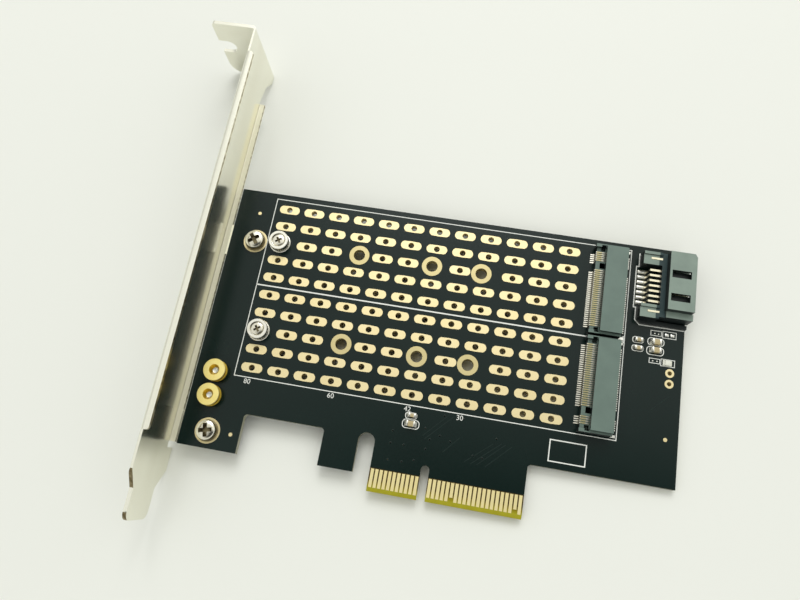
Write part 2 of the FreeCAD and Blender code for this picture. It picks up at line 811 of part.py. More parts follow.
def make_sata():
    body = new_body("sata_housing", "sata_back", "sata_y")
    base = new_sketch(body, "sata_base", "XY_Plane")
    add_outline(base, [
        ("-sata_arm_length", "sata_half"),
        ("-sata_arm_length", "sata_inner"),
        ("0", "sata_inner"),
        ("0", "-sata_inner"),
        ("-sata_arm_length", "-sata_inner"),
        ("-sata_arm_length", "-sata_half"),
        ("0", "-sata_half"),
        ("0", "sata_low"),
        ("sata_depth", "sata_low"),
        ("sata_depth", "sata_half"),
    ])
    pad(body, base, "sata_base_height")
    block = new_sketch(body, "sata_block", "XY_Plane")
    add_outline(block, [
        ("sata_back_step", "sata_low + sata_ledge"),
        ("sata_depth", "sata_low + sata_ledge"),
        ("sata_depth", "sata_half - sata_cut_length"),
        ("sata_depth - sata_cut_width", "sata_half"),
        ("sata_back_step", "sata_half"),
    ])
    pad(body, block, "sata_block_height")
    ledge = new_sketch(body, "sata_side_ledge", "XY_Plane")
    add_rectangle(ledge, "sata_back_step + sata_ledge_shift", "sata_depth + sata_ledge_shift",
                  "sata_low", "sata_low + sata_ledge")
    pad(body, ledge, "sata_ledge_height")
    skirt = new_sketch(body, "sata_low_skirt", "XY_Plane")
    add_outline(skirt, [
        ("-sata_arm_length", "-sata_half"),
        ("-sata_arm_length", "sata_skirt + sata_skirt_corner"),
        ("sata_skirt_corner - sata_arm_length", "sata_skirt"),
        ("sata_depth", "sata_skirt"),
        ("sata_depth", "-sata_half"),
    ])
    pad(body, skirt, "sata_skirt_height")
    ribs = new_sketch(body, "sata_ribs", "XY_Plane")
    for edge in ("sata_half", "-sata_inner"):
        add_rectangle(ribs, "-sata_arm_length", "0", f"{edge} - sata_rib_width", edge)
    pad(body, ribs, "sata_base_height + sata_rib_height")

    mouth = new_sketch(body, "sata_mouth", "YZ_Plane", "sata_depth")
    add_rectangle(mouth, "sata_low + sata_ledge + sata_wall", "sata_half - sata_wall",
                  "sata_wall", "sata_block_height - sata_wall")
    pocket(body, mouth, "sata_mouth_depth")
    tongue = new_sketch(body, "sata_tongue", "YZ_Plane", "sata_depth - sata_mouth_depth")
    top = "sata_leg_height"
    under = "sata_leg_height - sata_tongue_thickness"
    plain = "-(sata_span + sata_tongue_margin)"
    keyed = "sata_span + sata_tongue_key"
    add_outline(tongue, [
        (plain, under),
        (f"{keyed} - sata_tongue_thickness", under),
        (f"{keyed} - sata_tongue_thickness", "sata_wall"),
        (keyed, "sata_wall"),
        (keyed, top),
        (plain, top),
    ])
    pad(body, tongue, "sata_mouth_depth - sata_tongue_setback")
    windows = new_sketch(body, "sata_windows", "XY_Plane", "sata_block_height")
    start = "sata_back_step + sata_window_start"
    for side in ("", "-"):
        middle = f"{side}sata_window_offset - sata_window_shift"
        add_rectangle(windows, start, f"{start} + sata_window_length",
                      f"{middle} - sata_window_width / 2", f"{middle} + sata_window_width / 2")
    pocket(body, windows, "sata_wall")
    half = "sata_contact_width / 2"
    slots = new_sketch(body, "sata_slots", "YZ_Plane")
    numbers = [k - (SATA_CONTACTS - 1) // 2 for k in range(SATA_CONTACTS)]
    for number in numbers:
        middle = f"{number} * sata_pitch"
        add_rectangle(slots, f"{middle} - {half}", f"{middle} + {half}",
                      top, f"{top} + sata_contact_thickness")
    pocket(body, slots, "sata_depth - sata_mouth_depth", reverse=True)
    clips = new_sketch(body, "sata_clip_slots", "XY_Plane")
    for side in ("", "-"):
        middle = f"{side}(sata_inner + sata_clip_offset)"
        add_rectangle(clips, "-sata_clip_length", "0", f"{middle} - sata_clip_thickness / 2",
                      f"{middle} + sata_clip_thickness / 2")
    pocket(body, clips, reverse=True)

    thick = size("sata_contact_thickness")
    level = size("sata_leg_height")
    tip = -size("sata_lead")
    heel = tip + size("sata_foot")
    knee = heel + size("sata_rise")
    end = size("sata_depth") - size("sata_tongue_setback") - thick
    bent = [(tip, 0), (heel, 0), (knee, level), (end, level), (end, level + thick),
            (knee - thick, level + thick), (heel - thick, thick), (tip, thick)]
    width = size("sata_contact_width")
    strip = prism([Vector(x, -width / 2, z) for x, z in bent], Vector(0, width, 0))
    contacts = [strip.translated(Vector(0, number * size("sata_pitch"), 0)) for number in numbers]

    clip_half = size("sata_clip_thickness") / 2
    clip_top = size("sata_base_height") + size("sata_clip_proud")
    plates = []
    for side in (-1, 1):
        middle = side * (size("sata_inner") + size("sata_clip_offset"))
        low = (-size("sata_clip_length"), middle - clip_half, 0)
        plates.append(box(low, (0, middle + clip_half, clip_top)))
    place = (size("sata_back"), size("sata_y"), 0)
    return [
        body,
        solids_node("sata_contacts", contacts, place),
        solids_node("sata_hold_downs", plates, place),
    ]


# Chip capacitors: ceramic bodies with metal ends, soldered flat on the board.

def chip(length, width, height):
    end = size("chip_end_length")
    proud = size("chip_end_proud")
    body = box((-length / 2, -width / 2, 0), (length / 2, width / 2, height))
    for side in (-1, 1):
        near = side * (length / 2 - end)
        far = side * (length / 2 + proud)
        low = (min(near, far), -width / 2 - proud, 0)
        high = (max(near, far), width / 2 + proud, height + proud)
        body = body.fuse(box(low, high))
    return body.removeSplitter()


def make_chips():
    step = size("large_chip_width") + size("chip_gap")
    middle = (size("lower_row") + size("upper_row")) / 2
    rear = size("rear_lead_x")
    lower = size("shoulder_height") + size("lower_chip_rise")
    pair = (middle - step / 2, middle + step / 2)
    large_spots = [(rear + size("large_chip_reach"), y) for y in pair]
    large_spots.append((size("lower_chip_x"), lower))
    small_spots = [(rear + size("small_chip_reach"), y) for y in pair]
    small_spots.append((size("lower_chip_x"), lower + step))
    large = chip(*[size("large_chip_" + side) for side in ("length", "width", "height")])
    small = chip(*[size("small_chip_" + side) for side in ("length", "width", "height")])
    groups = (("large_capacitors", large, large_spots), ("small_capacitors", small, small_spots))
    nodes = []
    for label, shape, spots in groups:
        solids = [shape.translated(Vector(x, y, 0)) for x, y in spots]
        nodes.append(solids_node(label, solids, (0, 0, 0)))
    half_length = size("led_length") / 2
    half_width = size("led_width") / 2
    foot = size("led_base_height")
    lens = size("led_lens_length") / 2
    led = box((-half_length, -half_width, 0), (half_length, half_width, foot))
    led = led.fuse(box((-lens, -half_width, foot), (lens, half_width, foot + size("led_lens_height"))))
    place = (size("board_right") - size("led_inset"), middle - size("led_drop"), 0)
    nodes.append(solids_node("status_led", [led.removeSplitter()], place))
    return nodes


nodes = [
    make_board(),
    make_pads(),
    make_fingers("edge_contacts_front", 0, SHORT_FINGERS_FRONT),
    make_fingers("edge_contacts_back", -size("board_thickness") - size("plating"), SHORT_FINGERS_BACK),
    make_bracket(),
    make_sata(),
    make_chips(),
    make_socket("upper_socket", "upper_row", KEY_B),
    make_socket("lower_socket", "lower_row", KEY_M),
]
for level in ("upper", "lower"):
    nodes.append(make_bracket_screw("bracket_screw_" + level, level + "_screw"))
    nodes.append(make_standoff("ssd_standoff_" + level, level + "_row"))
    nodes.append(make_ssd_screw("ssd_screw_" + level, level + "_row"))
nodes.append(make_spare("spare_standoff_upper", "spare_high"))
nodes.append(make_spare("spare_standoff_lower", "spare_low"))
doc.recompute()

# Every feature and every finished piece has to be sound before anything is written.
for item in doc.Objects:
    if "Invalid" in item.State or "Error" in item.State:
        raise RuntimeError(f"{item.Label} failed: {item.State}")
pieces = []
for entry in nodes:
    pieces += entry if isinstance(entry, list) else [entry]
for piece in pieces:
    if piece.Shape.isNull() or not piece.Shape.isValid():
        raise RuntimeError(f"{piece.Label} has no sound shape")

os.makedirs("parts", exist_ok=True)
for piece in pieces:
    piece.Shape.exportStep(f"parts/{piece.Label}.step")
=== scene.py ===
# An adapter card for solid-state modules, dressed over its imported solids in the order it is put
# together: bracket, board, plating, print, sockets, header, chips, screws and standoffs.
import json
import math

import bpy
from mathutils import Matrix, Vector

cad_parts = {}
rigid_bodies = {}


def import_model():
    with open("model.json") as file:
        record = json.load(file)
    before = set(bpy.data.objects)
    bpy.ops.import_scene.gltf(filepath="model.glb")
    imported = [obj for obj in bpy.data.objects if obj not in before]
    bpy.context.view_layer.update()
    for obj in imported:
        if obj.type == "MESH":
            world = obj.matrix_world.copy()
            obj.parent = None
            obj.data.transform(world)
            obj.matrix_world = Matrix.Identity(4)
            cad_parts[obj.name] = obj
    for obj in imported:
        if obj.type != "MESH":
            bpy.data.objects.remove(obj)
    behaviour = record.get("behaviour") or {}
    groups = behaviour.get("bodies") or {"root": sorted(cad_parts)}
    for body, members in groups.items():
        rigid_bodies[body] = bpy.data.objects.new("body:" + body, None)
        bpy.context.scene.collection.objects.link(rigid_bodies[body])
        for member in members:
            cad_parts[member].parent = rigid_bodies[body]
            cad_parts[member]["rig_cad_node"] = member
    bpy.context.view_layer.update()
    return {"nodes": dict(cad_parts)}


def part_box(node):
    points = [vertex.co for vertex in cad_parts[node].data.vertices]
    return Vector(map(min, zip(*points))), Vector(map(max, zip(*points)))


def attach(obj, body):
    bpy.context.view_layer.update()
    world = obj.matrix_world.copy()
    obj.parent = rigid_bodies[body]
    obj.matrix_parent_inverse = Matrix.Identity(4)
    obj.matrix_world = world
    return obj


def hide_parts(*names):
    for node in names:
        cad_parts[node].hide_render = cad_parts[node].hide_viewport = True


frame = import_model()
nodes = frame["nodes"]
MM = 0.001


# Slot bracket: one strip of mild steel, blanked, folded along both sides and at the top, then
# bright nickel plated. Two tabs folded in under the board take the card's screws. The sheared
# ends of its flange and the edges of its tail stay rough and darker. The crease of the lower fold
# takes a darker satin copy of the plating, painted shade, and the top of the lower flange a
# brighter satin copy, painted light.

MERGE = 0.002 * MM
SMOOTH_ANGLE = math.radians(32)
FLAT_ANGLE = math.radians(0.3)


def take(*pieces):
    """Select these pieces and nothing else, the first one active."""
    bpy.ops.object.select_all(action="DESELECT")
    for piece in pieces:
        piece.select_set(True)
    bpy.context.view_layer.objects.active = pieces[0]
    return pieces[0]


def copy_solid(node, name):
    """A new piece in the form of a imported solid, its loose triangles merged into whole flats."""
    take(nodes[node])
    bpy.ops.object.duplicate()
    piece = bpy.context.object
    piece.name = name
    del piece["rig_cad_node"]
    bpy.ops.object.mode_set(mode="EDIT")
    bpy.ops.mesh.select_all(action="SELECT")
    bpy.ops.mesh.remove_doubles(threshold=MERGE)
    bpy.ops.mesh.dissolve_limited(angle_limit=FLAT_ANGLE)
    bpy.ops.object.mode_set(mode="OBJECT")
    return piece


def split_at(piece, spot, normal):
    """Add an edge round a piece where a plane cuts it, so that two finishes can meet there."""
    take(piece)
    bpy.ops.object.mode_set(mode="EDIT")
    bpy.ops.mesh.select_all(action="SELECT")
    bpy.ops.mesh.bisect(plane_co=spot, plane_no=normal)
    bpy.ops.object.mode_set(mode="OBJECT")


def smooth(piece):
    """Shade the curves of a piece smooth and leave its edges sharp."""
    take(piece)
    bpy.ops.object.shade_smooth_by_angle(angle=SMOOTH_ANGLE)


def soften(piece, width):
    """Break sharp edges with a bevel, its width in millimetres, and keep the flats flat."""
    take(piece)
    bevel = piece.modifiers.new("broken_edges", "BEVEL")
    bevel.width = width * MM
    bevel.segments = 2
    bevel.limit_method = "ANGLE"
    bevel.angle_limit = SMOOTH_ANGLE
    bpy.ops.object.modifier_apply(modifier=bevel.name)
    smooth(piece)
    flats = piece.modifiers.new("flats", "WEIGHTED_NORMAL")
    flats.weight = 100
    flats.keep_sharp = True
    bpy.ops.object.modifier_apply(modifier=flats.name)


def fit(piece, finish, slot, *replaced):
    """Give a piece its finish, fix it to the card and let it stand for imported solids."""
    piece.data.materials.clear()
    piece.data.materials.append(finish)
    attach(piece, "root")
    if replaced:
        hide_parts(*replaced)


def refinish(piece, finish, wanted):
    """Give a second finish to the faces whose place and normal pass a test."""
    piece.data.materials.append(finish)
    for face in piece.data.polygons:
        if wanted(face.center, face.normal):
            face.material_index = len(piece.data.materials) - 1


def new_effect(name, inputs, outputs):
    """An empty shader node group with its own named sockets."""
    group = bpy.data.node_groups.new(name, "ShaderNodeTree")
    for label, kind in inputs:
        group.interface.new_socket(label, in_out="INPUT", socket_type="NodeSocket" + kind)
    for label, kind in outputs:
        group.interface.new_socket(label, in_out="OUTPUT", socket_type="NodeSocket" + kind)
    return group, group.nodes.new("NodeGroupInput"), group.nodes.new("NodeGroupOutput")


fine_grain, grain_in, grain_out = new_effect(
    "fine_grain",
    [("Vector", "Vector"), ("Scale", "Float"), ("Roughness", "Float"), ("Spread", "Float")],
    [("Roughness", "Float"), ("Height", "Float")])
grain_noise = fine_grain.nodes.new("ShaderNodeTexNoise")
grain_noise.inputs["Detail"].default_value = 5
grain_centre = fine_grain.nodes.new("ShaderNodeMath")
grain_centre.operation = "SUBTRACT"
grain_centre.inputs[1].default_value = 0.5
grain_spread = fine_grain.nodes.new("ShaderNodeMath")
grain_spread.operation = "MULTIPLY_ADD"
fine_grain.links.new(grain_in.outputs["Vector"], grain_noise.inputs["Vector"])
fine_grain.links.new(grain_in.outputs["Scale"], grain_noise.inputs["Scale"])
fine_grain.links.new(grain_noise.outputs[0], grain_centre.inputs[0])
fine_grain.links.new(grain_centre.outputs[0], grain_spread.inputs[0])
fine_grain.links.new(grain_in.outputs["Spread"], grain_spread.inputs[1])
fine_grain.links.new(grain_in.outputs["Roughness"], grain_spread.inputs[2])
fine_grain.links.new(grain_spread.outputs[0], grain_out.inputs["Roughness"])
fine_grain.links.new(grain_noise.outputs[0], grain_out.inputs["Height"])

soft_stain, stain_in, stain_out = new_effect(
    "soft_stain",
    [("Vector", "Vector"), ("Scale", "Float"), ("Clean", "Color"), ("Stained", "Color"),
     ("Amount", "Float")],
    [("Color", "Color")])
stain_noise = soft_stain.nodes.new("ShaderNodeTexNoise")
stain_noise.inputs["Detail"].default_value = 3
stain_range = soft_stain.nodes.new("ShaderNodeMapRange")
stain_range.inputs["From Min"].default_value = 0.38
stain_range.inputs["From Max"].default_value = 0.68
stain_mix = soft_stain.nodes.new("ShaderNodeMix")
stain_mix.data_type = "RGBA"
soft_stain.links.new(stain_in.outputs["Vector"], stain_noise.inputs["Vector"])
soft_stain.links.new(stain_in.outputs["Scale"], stain_noise.inputs["Scale"])
soft_stain.links.new(stain_noise.outputs[0], stain_range.inputs["Value"])
soft_stain.links.new(stain_in.outputs["Amount"], stain_range.inputs["To Max"])
soft_stain.links.new(stain_range.outputs[0], stain_mix.inputs[0])
soft_stain.links.new(stain_in.outputs["Clean"], stain_mix.inputs[6])
soft_stain.links.new(stain_in.outputs["Stained"], stain_mix.inputs[7])
soft_stain.links.new(stain_mix.outputs[2], stain_out.inputs["Color"])


def make_finish(name, clean, stained, roughness, metallic=0.0, amount=0.6, stains=120.0,
                grain=2500.0, spread=0.12, bump=0.05, stretch=(1, 1, 1), gloss=0.5):
    """A finish with faint stains, uneven roughness and a fine grain, measured in metres."""
    finish = bpy.data.materials.new(name)
    finish.use_nodes = True
    tree = finish.node_tree
    shader = tree.nodes["Principled BSDF"]
    shader.inputs["Metallic"].default_value = metallic
    shader.inputs["Specular IOR Level"].default_value = gloss
    place = tree.nodes.new("ShaderNodeTexCoord")
    along = tree.nodes.new("ShaderNodeMapping")
    along.inputs["Scale"].default_value = stretch
    tree.links.new(place.outputs["Object"], along.inputs["Vector"])
    stain = tree.nodes.new("ShaderNodeGroup")
    stain.node_tree = soft_stain
    stain.inputs["Scale"].default_value = stains
    stain.inputs["Clean"].default_value = (*clean, 1)
    stain.inputs["Stained"].default_value = (*stained, 1)
    stain.inputs["Amount"].default_value = amount
    texture = tree.nodes.new("ShaderNodeGroup")
    texture.node_tree = fine_grain
    texture.inputs["Scale"].default_value = grain
    texture.inputs["Roughness"].default_value = roughness
    texture.inputs["Spread"].default_value = spread
    raised = tree.nodes.new("ShaderNodeBump")
    raised.inputs["Strength"].default_value = bump
    raised.inputs["Distance"].default_value = 0.05 * MM
    tree.links.new(along.outputs[0], stain.inputs["Vector"])
    tree.links.new(along.outputs[0], texture.inputs["Vector"])
    tree.links.new(stain.outputs["Color"], shader.inputs["Base Color"])
    tree.links.new(texture.outputs["Roughness"], shader.inputs["Roughness"])
    tree.links.new(texture.outputs["Height"], raised.inputs["Height"])
    tree.links.new(raised.outputs[0], shader.inputs["Normal"])
    return finish


BRUSHED = {"stains": 60, "grain": 900, "spread": 0.06, "bump": 0.02, "stretch": (3, 0.4, 3)}
SHEARED = {"amount": 1.0, "stains": 1100, "grain": 5200, "spread": 0.2}
nickel_plate = make_finish("nickel_plate", (0.88, 0.87, 0.76), (0.82, 0.80, 0.68), 0.2,
                           metallic=1.0, **BRUSHED)
fold_shade_satin = make_finish("fold_shade_satin", (0.74, 0.71, 0.56), (0.64, 0.60, 0.44), 0.5,
                         metallic=0.35, **BRUSHED)
flange_light_satin = make_finish("flange_light_satin", (0.90, 0.87, 0.70), (0.82, 0.79, 0.62), 0.45,
                           metallic=0.35, **BRUSHED)
sheared_steel = make_finish("sheared_steel", (0.76, 0.72, 0.56), (0.26, 0.21, 0.10), 0.34,
                            metallic=1.0, bump=0.6, **SHEARED)
dark_shear = make_finish("dark_shear", (0.30, 0.25, 0.14), (0.12, 0.09, 0.04), 0.4,
                         metallic=0.8, bump=0.4, **SHEARED)
PLATE_FACE, FLANGE_LEVEL = -59.2 * MM, -1.6 * MM
FLANGE_TIP = -57.9 * MM
SHEAR_START, SHEAR_END = -58.9 * MM, -56.9 * MM
TAIL_TOP = -4.5 * MM
bracket = copy_solid("slot_bracket", "bracket_strip")
split_at(bracket, (FLANGE_TIP, 0, 0), (1, 0, 0))
soften(bracket, 0.10)
fit(bracket, nickel_plate, "bracket_steel", "slot_bracket")
# The crease of the lower fold takes a darker satin copy of the plating: painted shade.
refinish(bracket, fold_shade_satin, lambda spot, normal: (
    normal.x > 0.15 and normal.z > 0.15
    and PLATE_FACE - 0.1 * MM < spot.x < PLATE_FACE + 0.4 * MM
    and abs(spot.z - FLANGE_LEVEL) < 0.4 * MM))
# The top of the lower flange takes a brighter satin copy of the plating: painted light.
refinish(bracket, flange_light_satin, lambda spot, normal: (
    normal.z > 0.8
    and PLATE_FACE < spot.x < FLANGE_TIP
    and abs(spot.z - FLANGE_LEVEL) < 0.2 * MM))
refinish(bracket, sheared_steel, lambda spot, normal: (
    normal.x > 0.6 and SHEAR_START < spot.x < SHEAR_END))
refinish(bracket, dark_shear, lambda spot, normal: (
    spot.y < TAIL_TOP and normal.z > 0.1 and normal.y < -0.15 and abs(normal.x) < 0.3))


# Circuit board: glass-epoxy laminate with a green-black mask on both faces, drilled through every
# thermal pad. The bare glass shows at the routed edges and on the tongue, where it is graded from
# olive at the bevelled tip to dark under the contacts; the darkening is painted shade between the
# raised fingers.

PAD_LOW, PAD_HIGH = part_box("thermal_pads")
PAD_LENGTH, PAD_WIDTH = 5.1 * MM, 2.2 * MM
FIELD_COLUMNS, FIELD_ROWS = 12, 10
COLUMN_STEP = (PAD_HIGH.x - PAD_LOW.x - PAD_LENGTH) / (FIELD_COLUMNS - 1)
ROW_STEP = (PAD_HIGH.y - PAD_LOW.y - PAD_WIDTH) / (FIELD_ROWS - 1)
FIRST_PAD = Vector((PAD_LOW.x + PAD_LENGTH / 2, PAD_HIGH.y - PAD_WIDTH / 2, 0))
LEFT_OUT = {(column, row) for column in (0, 3, 6, 8) for row in (2, 7)}
PAD_DRILL, LEAD_DRILL, VIA_DRILL = 0.78, 0.55, 0.17
DRILL_DEPTH, DRILL_SIDES = 4 * MM, 16
BOARD_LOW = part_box("circuit_board")[0]
LIGHT_LEAD_HOLES = ((51.25, 37.24), (51.27, 34.76))
VIA_SPOTS = (
    (2.45, 19.1), (6.82, 19.1), (-8.65, 11.15), (-5.6, 11.2), (-0.68, 11.15), (9.91, 11.43),
    (12.05, 11.26), (-0.06, 13.33), (2.06, 14.52), (4.53, 13.65), (-1.4, 15.65), (-8.63, 7.45),
    (-5.48, 7.5), (-2.84, 8.25), (14.65, 16.0), (-8.56, 13.9))


def select_vertices(piece, wanted):
    """Open a piece for editing with only the vertices selected whose place passes a test."""
    take(piece)
    bpy.ops.object.mode_set(mode="EDIT")
    bpy.ops.mesh.select_mode(type="VERT")
    bpy.ops.mesh.select_all(action="DESELECT")
    bpy.ops.object.mode_set(mode="OBJECT")
    for vertex in piece.data.vertices:
        vertex.select = wanted(vertex.co)
    bpy.ops.object.mode_set(mode="EDIT")


def spread_over_field(piece):
    """Repeat a shape over the pad field, without the places that the module screws need."""
    take(piece)
    for count, step in ((FIELD_COLUMNS, (COLUMN_STEP, 0, 0)), (FIELD_ROWS, (0, -ROW_STEP, 0))):
        array = piece.modifiers.new("field", "ARRAY")
        array.count = count
        array.use_relative_offset = False
        array.use_constant_offset = True
        array.constant_offset_displace = step
        bpy.ops.object.modifier_apply(modifier=array.name)
    bpy.ops.object.transform_apply(location=True, rotation=True, scale=True)
    select_vertices(piece, lambda spot: (round((spot.x - FIRST_PAD.x) / COLUMN_STEP),
                                         round((FIRST_PAD.y - spot.y) / ROW_STEP)) in LEFT_OUT)
    bpy.ops.mesh.delete(type="VERT")
    bpy.ops.object.mode_set(mode="OBJECT")


def colour_zones(finish, axis, stops):
    """Tint a finish by colours set at places along one axis, in millimetres."""
    tree = finish.node_tree
    place = tree.nodes.new("ShaderNodeTexCoord")
    axes = tree.nodes.new("ShaderNodeSeparateXYZ")
    reach = tree.nodes.new("ShaderNodeMapRange")
    start, end = stops[0][0], stops[-1][0]
    reach.inputs["From Min"].default_value = start * MM
    reach.inputs["From Max"].default_value = end * MM
    zones = tree.nodes.new("ShaderNodeValToRGB")
    ramp = zones.color_ramp.elements
    ramp[0].color = (*stops[0][1], 1)
    ramp[-1].color = (*stops[-1][1], 1)
    for spot, colour in stops[1:-1]:
        ramp.new((spot - start) / (end - start)).color = (*colour, 1)
    tint = tree.nodes.new("ShaderNodeMix")
    tint.data_type = "RGBA"
    tint.blend_type = "MULTIPLY"
    tint.inputs[0].default_value = 1.0
    shader = tree.nodes["Principled BSDF"]
    stain = shader.inputs["Base Color"].links[0].from_socket
    tree.links.new(place.outputs["Object"], axes.inputs[0])
    tree.links.new(axes.outputs[axis], reach.inputs["Value"])
    tree.links.new(reach.outputs[0], zones.inputs[0])
    tree.links.new(stain, tint.inputs[6])
    tree.links.new(zones.outputs[0], tint.inputs[7])
    tree.links.new(tint.outputs[2], shader.inputs["Base Color"])


def cut_with(piece, cutter):
    """Cut one shape out of a piece and clear the cutter away."""
    take(piece)
    cut = piece.modifiers.new("cut", "BOOLEAN")
    cut.operation = "DIFFERENCE"
    cut.solver = "EXACT"
    cut.object = cutter
    bpy.ops.object.modifier_apply(modifier=cut.name)
    bpy.data.objects.remove(cutter)


board = copy_solid("circuit_board", "laminate_board")
bpy.ops.mesh.primitive_cylinder_add(vertices=DRILL_SIDES, radius=PAD_DRILL * MM, depth=DRILL_DEPTH,
                                    location=FIRST_PAD)
drill = bpy.context.object
spread_over_field(drill)
small_drills = [(spot, LEAD_DRILL) for spot in LIGHT_LEAD_HOLES]
small_drills += [(spot, VIA_DRILL) for spot in VIA_SPOTS]
for (hole_x, hole_y), radius in small_drills:
    bpy.ops.mesh.primitive_cylinder_add(vertices=DRILL_SIDES, radius=radius * MM, depth=DRILL_DEPTH,
                                        location=(hole_x * MM, hole_y * MM, 0))
    small_drill = take(bpy.context.object)
    bpy.ops.object.transform_apply(location=True, rotation=True, scale=True)
    take(drill, small_drill)
    bpy.ops.object.join()
cut_with(board, drill)
MASK_END, TONGUE_LEFT = 5.15 * MM, -13 * MM
split_at(board, (0, MASK_END, 0), (0, 1, 0))
bpy.ops.object.shade_smooth_by_angle(angle=math.radians(30))

solder_mask = make_finish("solder_mask", (0.0018, 0.0100, 0.0080), (0.0027, 0.0125, 0.0102), 0.23,
                          amount=0.8, stains=55, grain=1600, bump=0.04, gloss=0.28)
routed_glass = make_finish("routed_glass", (0.34, 0.33, 0.24), (0.20, 0.20, 0.14), 0.6,
                           amount=0.8, stains=700, grain=4000, bump=0.3, stretch=(1, 1, 6))
tongue_glass = make_finish("tongue_glass", (1.0, 1.0, 1.0), (0.86, 0.85, 0.82), 0.5,
                           amount=0.8, stains=500, grain=2600, bump=0.08, gloss=0.15)
OLIVE_TIP = (0.395, 0.360, 0.020)
BROWN_GLASS = (0.235, 0.180, 0.006)
SHADED_GLASS = (0.060, 0.036, 0.003)
# The tongue darkens from olive at the tip to near black under the contacts: painted shade between the
# raised fingers.
colour_zones(tongue_glass, "Y", [(0.95, OLIVE_TIP), (1.85, BROWN_GLASS), (2.7, SHADED_GLASS)])
fit(board, solder_mask, "board_laminate", "circuit_board")
refinish(board, routed_glass, lambda spot, normal: (
    abs(normal.z) < 0.95 and spot.x > BOARD_LOW.x + 0.1 * MM))
refinish(board, tongue_glass, lambda spot, normal: spot.y < MASK_END and spot.x > TONGUE_LEFT)


# Gold plating: stadium pads riveted through the board by their plated holes, round lands at the
# unused module holes and under the bracket screws, target dots and the contacts of the tongue.
# The module lands are duller than the rest, and the contacts paler.

PLATING, BACK = 0.05, BOARD_LOW.z / MM


def chain(name, points):
    """A bare run of edges through points, in millimetres, left open for editing."""
    bpy.ops.object.select_all(action="DESELECT")
    bpy.ops.mesh.primitive_plane_add(size=MM, location=(0, 0, 0))
    piece = bpy.context.object
    piece.name = name
    bpy.ops.object.mode_set(mode="EDIT")
    bpy.ops.mesh.merge(type="CENTER")
    bpy.ops.transform.translate(value=Vector(points[0]) * MM)
    for point, following in zip(points, points[1:]):
        step = (Vector(following) - Vector(point)) * MM
        bpy.ops.mesh.extrude_region_move(TRANSFORM_OT_translate={"value": step})
    bpy.ops.mesh.select_all(action="SELECT")
    bpy.ops.mesh.remove_doubles(threshold=MERGE)
    return piece


def turned(name, profile, steps, spot=(0, 0)):
    """Spin a profile of radius and height, in millimetres, about an upright axis at a spot."""
    piece = chain(name, [(radius, 0, height) for radius, height in profile])
    bpy.ops.mesh.spin(steps=steps, angle=2 * math.pi, center=(0, 0, 0), axis=(0, 0, 1))
    bpy.ops.mesh.select_all(action="SELECT")
    bpy.ops.mesh.remove_doubles(threshold=MERGE)
    bpy.ops.mesh.normals_make_consistent(inside=False)
    bpy.ops.transform.translate(value=(spot[0] * MM, spot[1] * MM, 0))
    bpy.ops.object.mode_set(mode="OBJECT")
    smooth(piece)
    return piece


def plated_ring(hole, drill_radius, front, back):
    """The profile of a plated hole: a ring on each face of the board, joined by a barrel."""
    return [(hole, PLATING), (front, PLATING), (front, 0), (drill_radius, 0), (drill_radius, BACK),
            (back, BACK), (back, BACK - PLATING), (hole, BACK - PLATING), (hole, PLATING)]


def weld_group(name, pieces):
    """Join like pieces into one."""
    group = take(*pieces)
    bpy.ops.object.join()
    group.name = name
    return group


def finish_node(node, finish):
    """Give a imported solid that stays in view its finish."""
    nodes[node].data.materials.clear()
    nodes[node].data.materials.append(finish)


PLATED = {"metallic": 1.0, "stains": 160, "grain": 3000, "bump": 0.03}
gold_plate = make_finish("gold_plate", (0.85, 0.735, 0.44), (0.81, 0.68, 0.37), 0.5, **PLATED)
land_gold = make_finish("land_gold", (0.63, 0.545, 0.29), (0.57, 0.48, 0.24), 0.5, **PLATED)
finger_gold = make_finish("finger_gold", (0.86, 0.745, 0.375), (0.80, 0.67, 0.30), 0.42,
                          metallic=0.35, stains=300, grain=3000, bump=0.03, stretch=(1, 0.2, 1))
PAD_HOLE, PAD_ROUND, PAD_BACK = 0.73, PAD_WIDTH / MM / 2, 1.0
pads = turned("thermal_pads_plated", plated_ring(PAD_HOLE, PAD_DRILL, PAD_ROUND, PAD_BACK), 16)
for side in (1, -1):
    select_vertices(pads, lambda spot: (
        spot.z > -0.01 * MM and spot.xy.length > 0.9 * MM and spot.x * side > 0.01 * MM))
    bpy.ops.transform.translate(value=(side * (PAD_LENGTH - PAD_WIDTH) / 2, 0, 0))
    bpy.ops.object.mode_set(mode="OBJECT")
pads.location = FIRST_PAD
spread_over_field(pads)
fit(pads, gold_plate, "gold_plate", "thermal_pads")

SOCKET_REACH = 35.84
SOCKET_LINES = (54.11, 31.57)
SCREW_X, SCREW_LINES = -50.47, (53.7, 6.7)
TARGET_SPOTS = ((-51.1, 61.15), (-45.0, 6.7), (51.2, 22.2))
module_ring = plated_ring(1.39, 1.44, 2.45, 2.45)
screw_ring = [(1.62, 0.02), (2.95, 0.02), (2.95, 0), (1.62, 0), (1.62, 0.02)]
target_dot = [(0, 0.04), (0.42, 0.04), (0.45, 0.02), (0.45, 0), (0, 0)]
lead_ring = plated_ring(0.5, LEAD_DRILL, 1.0, 1.0)
lands = [turned("land", module_ring, 48, (SOCKET_REACH - length, line))
         for length in (60, 42, 30) for line in SOCKET_LINES]
fit(weld_group("module_lands", lands), land_gold, "gold_plate")
lands = [turned("land", screw_ring, 48, (SCREW_X, line)) for line in SCREW_LINES]
lands += [turned("land", target_dot, 20, spot) for spot in TARGET_SPOTS]
lands += [turned("land", lead_ring, 24, spot) for spot in LIGHT_LEAD_HOLES]
fit(weld_group("plated_lands", lands), gold_plate, "gold_plate")
for node in ("edge_contacts_front", "edge_contacts_back"):
    finish_node(node, finger_gold)


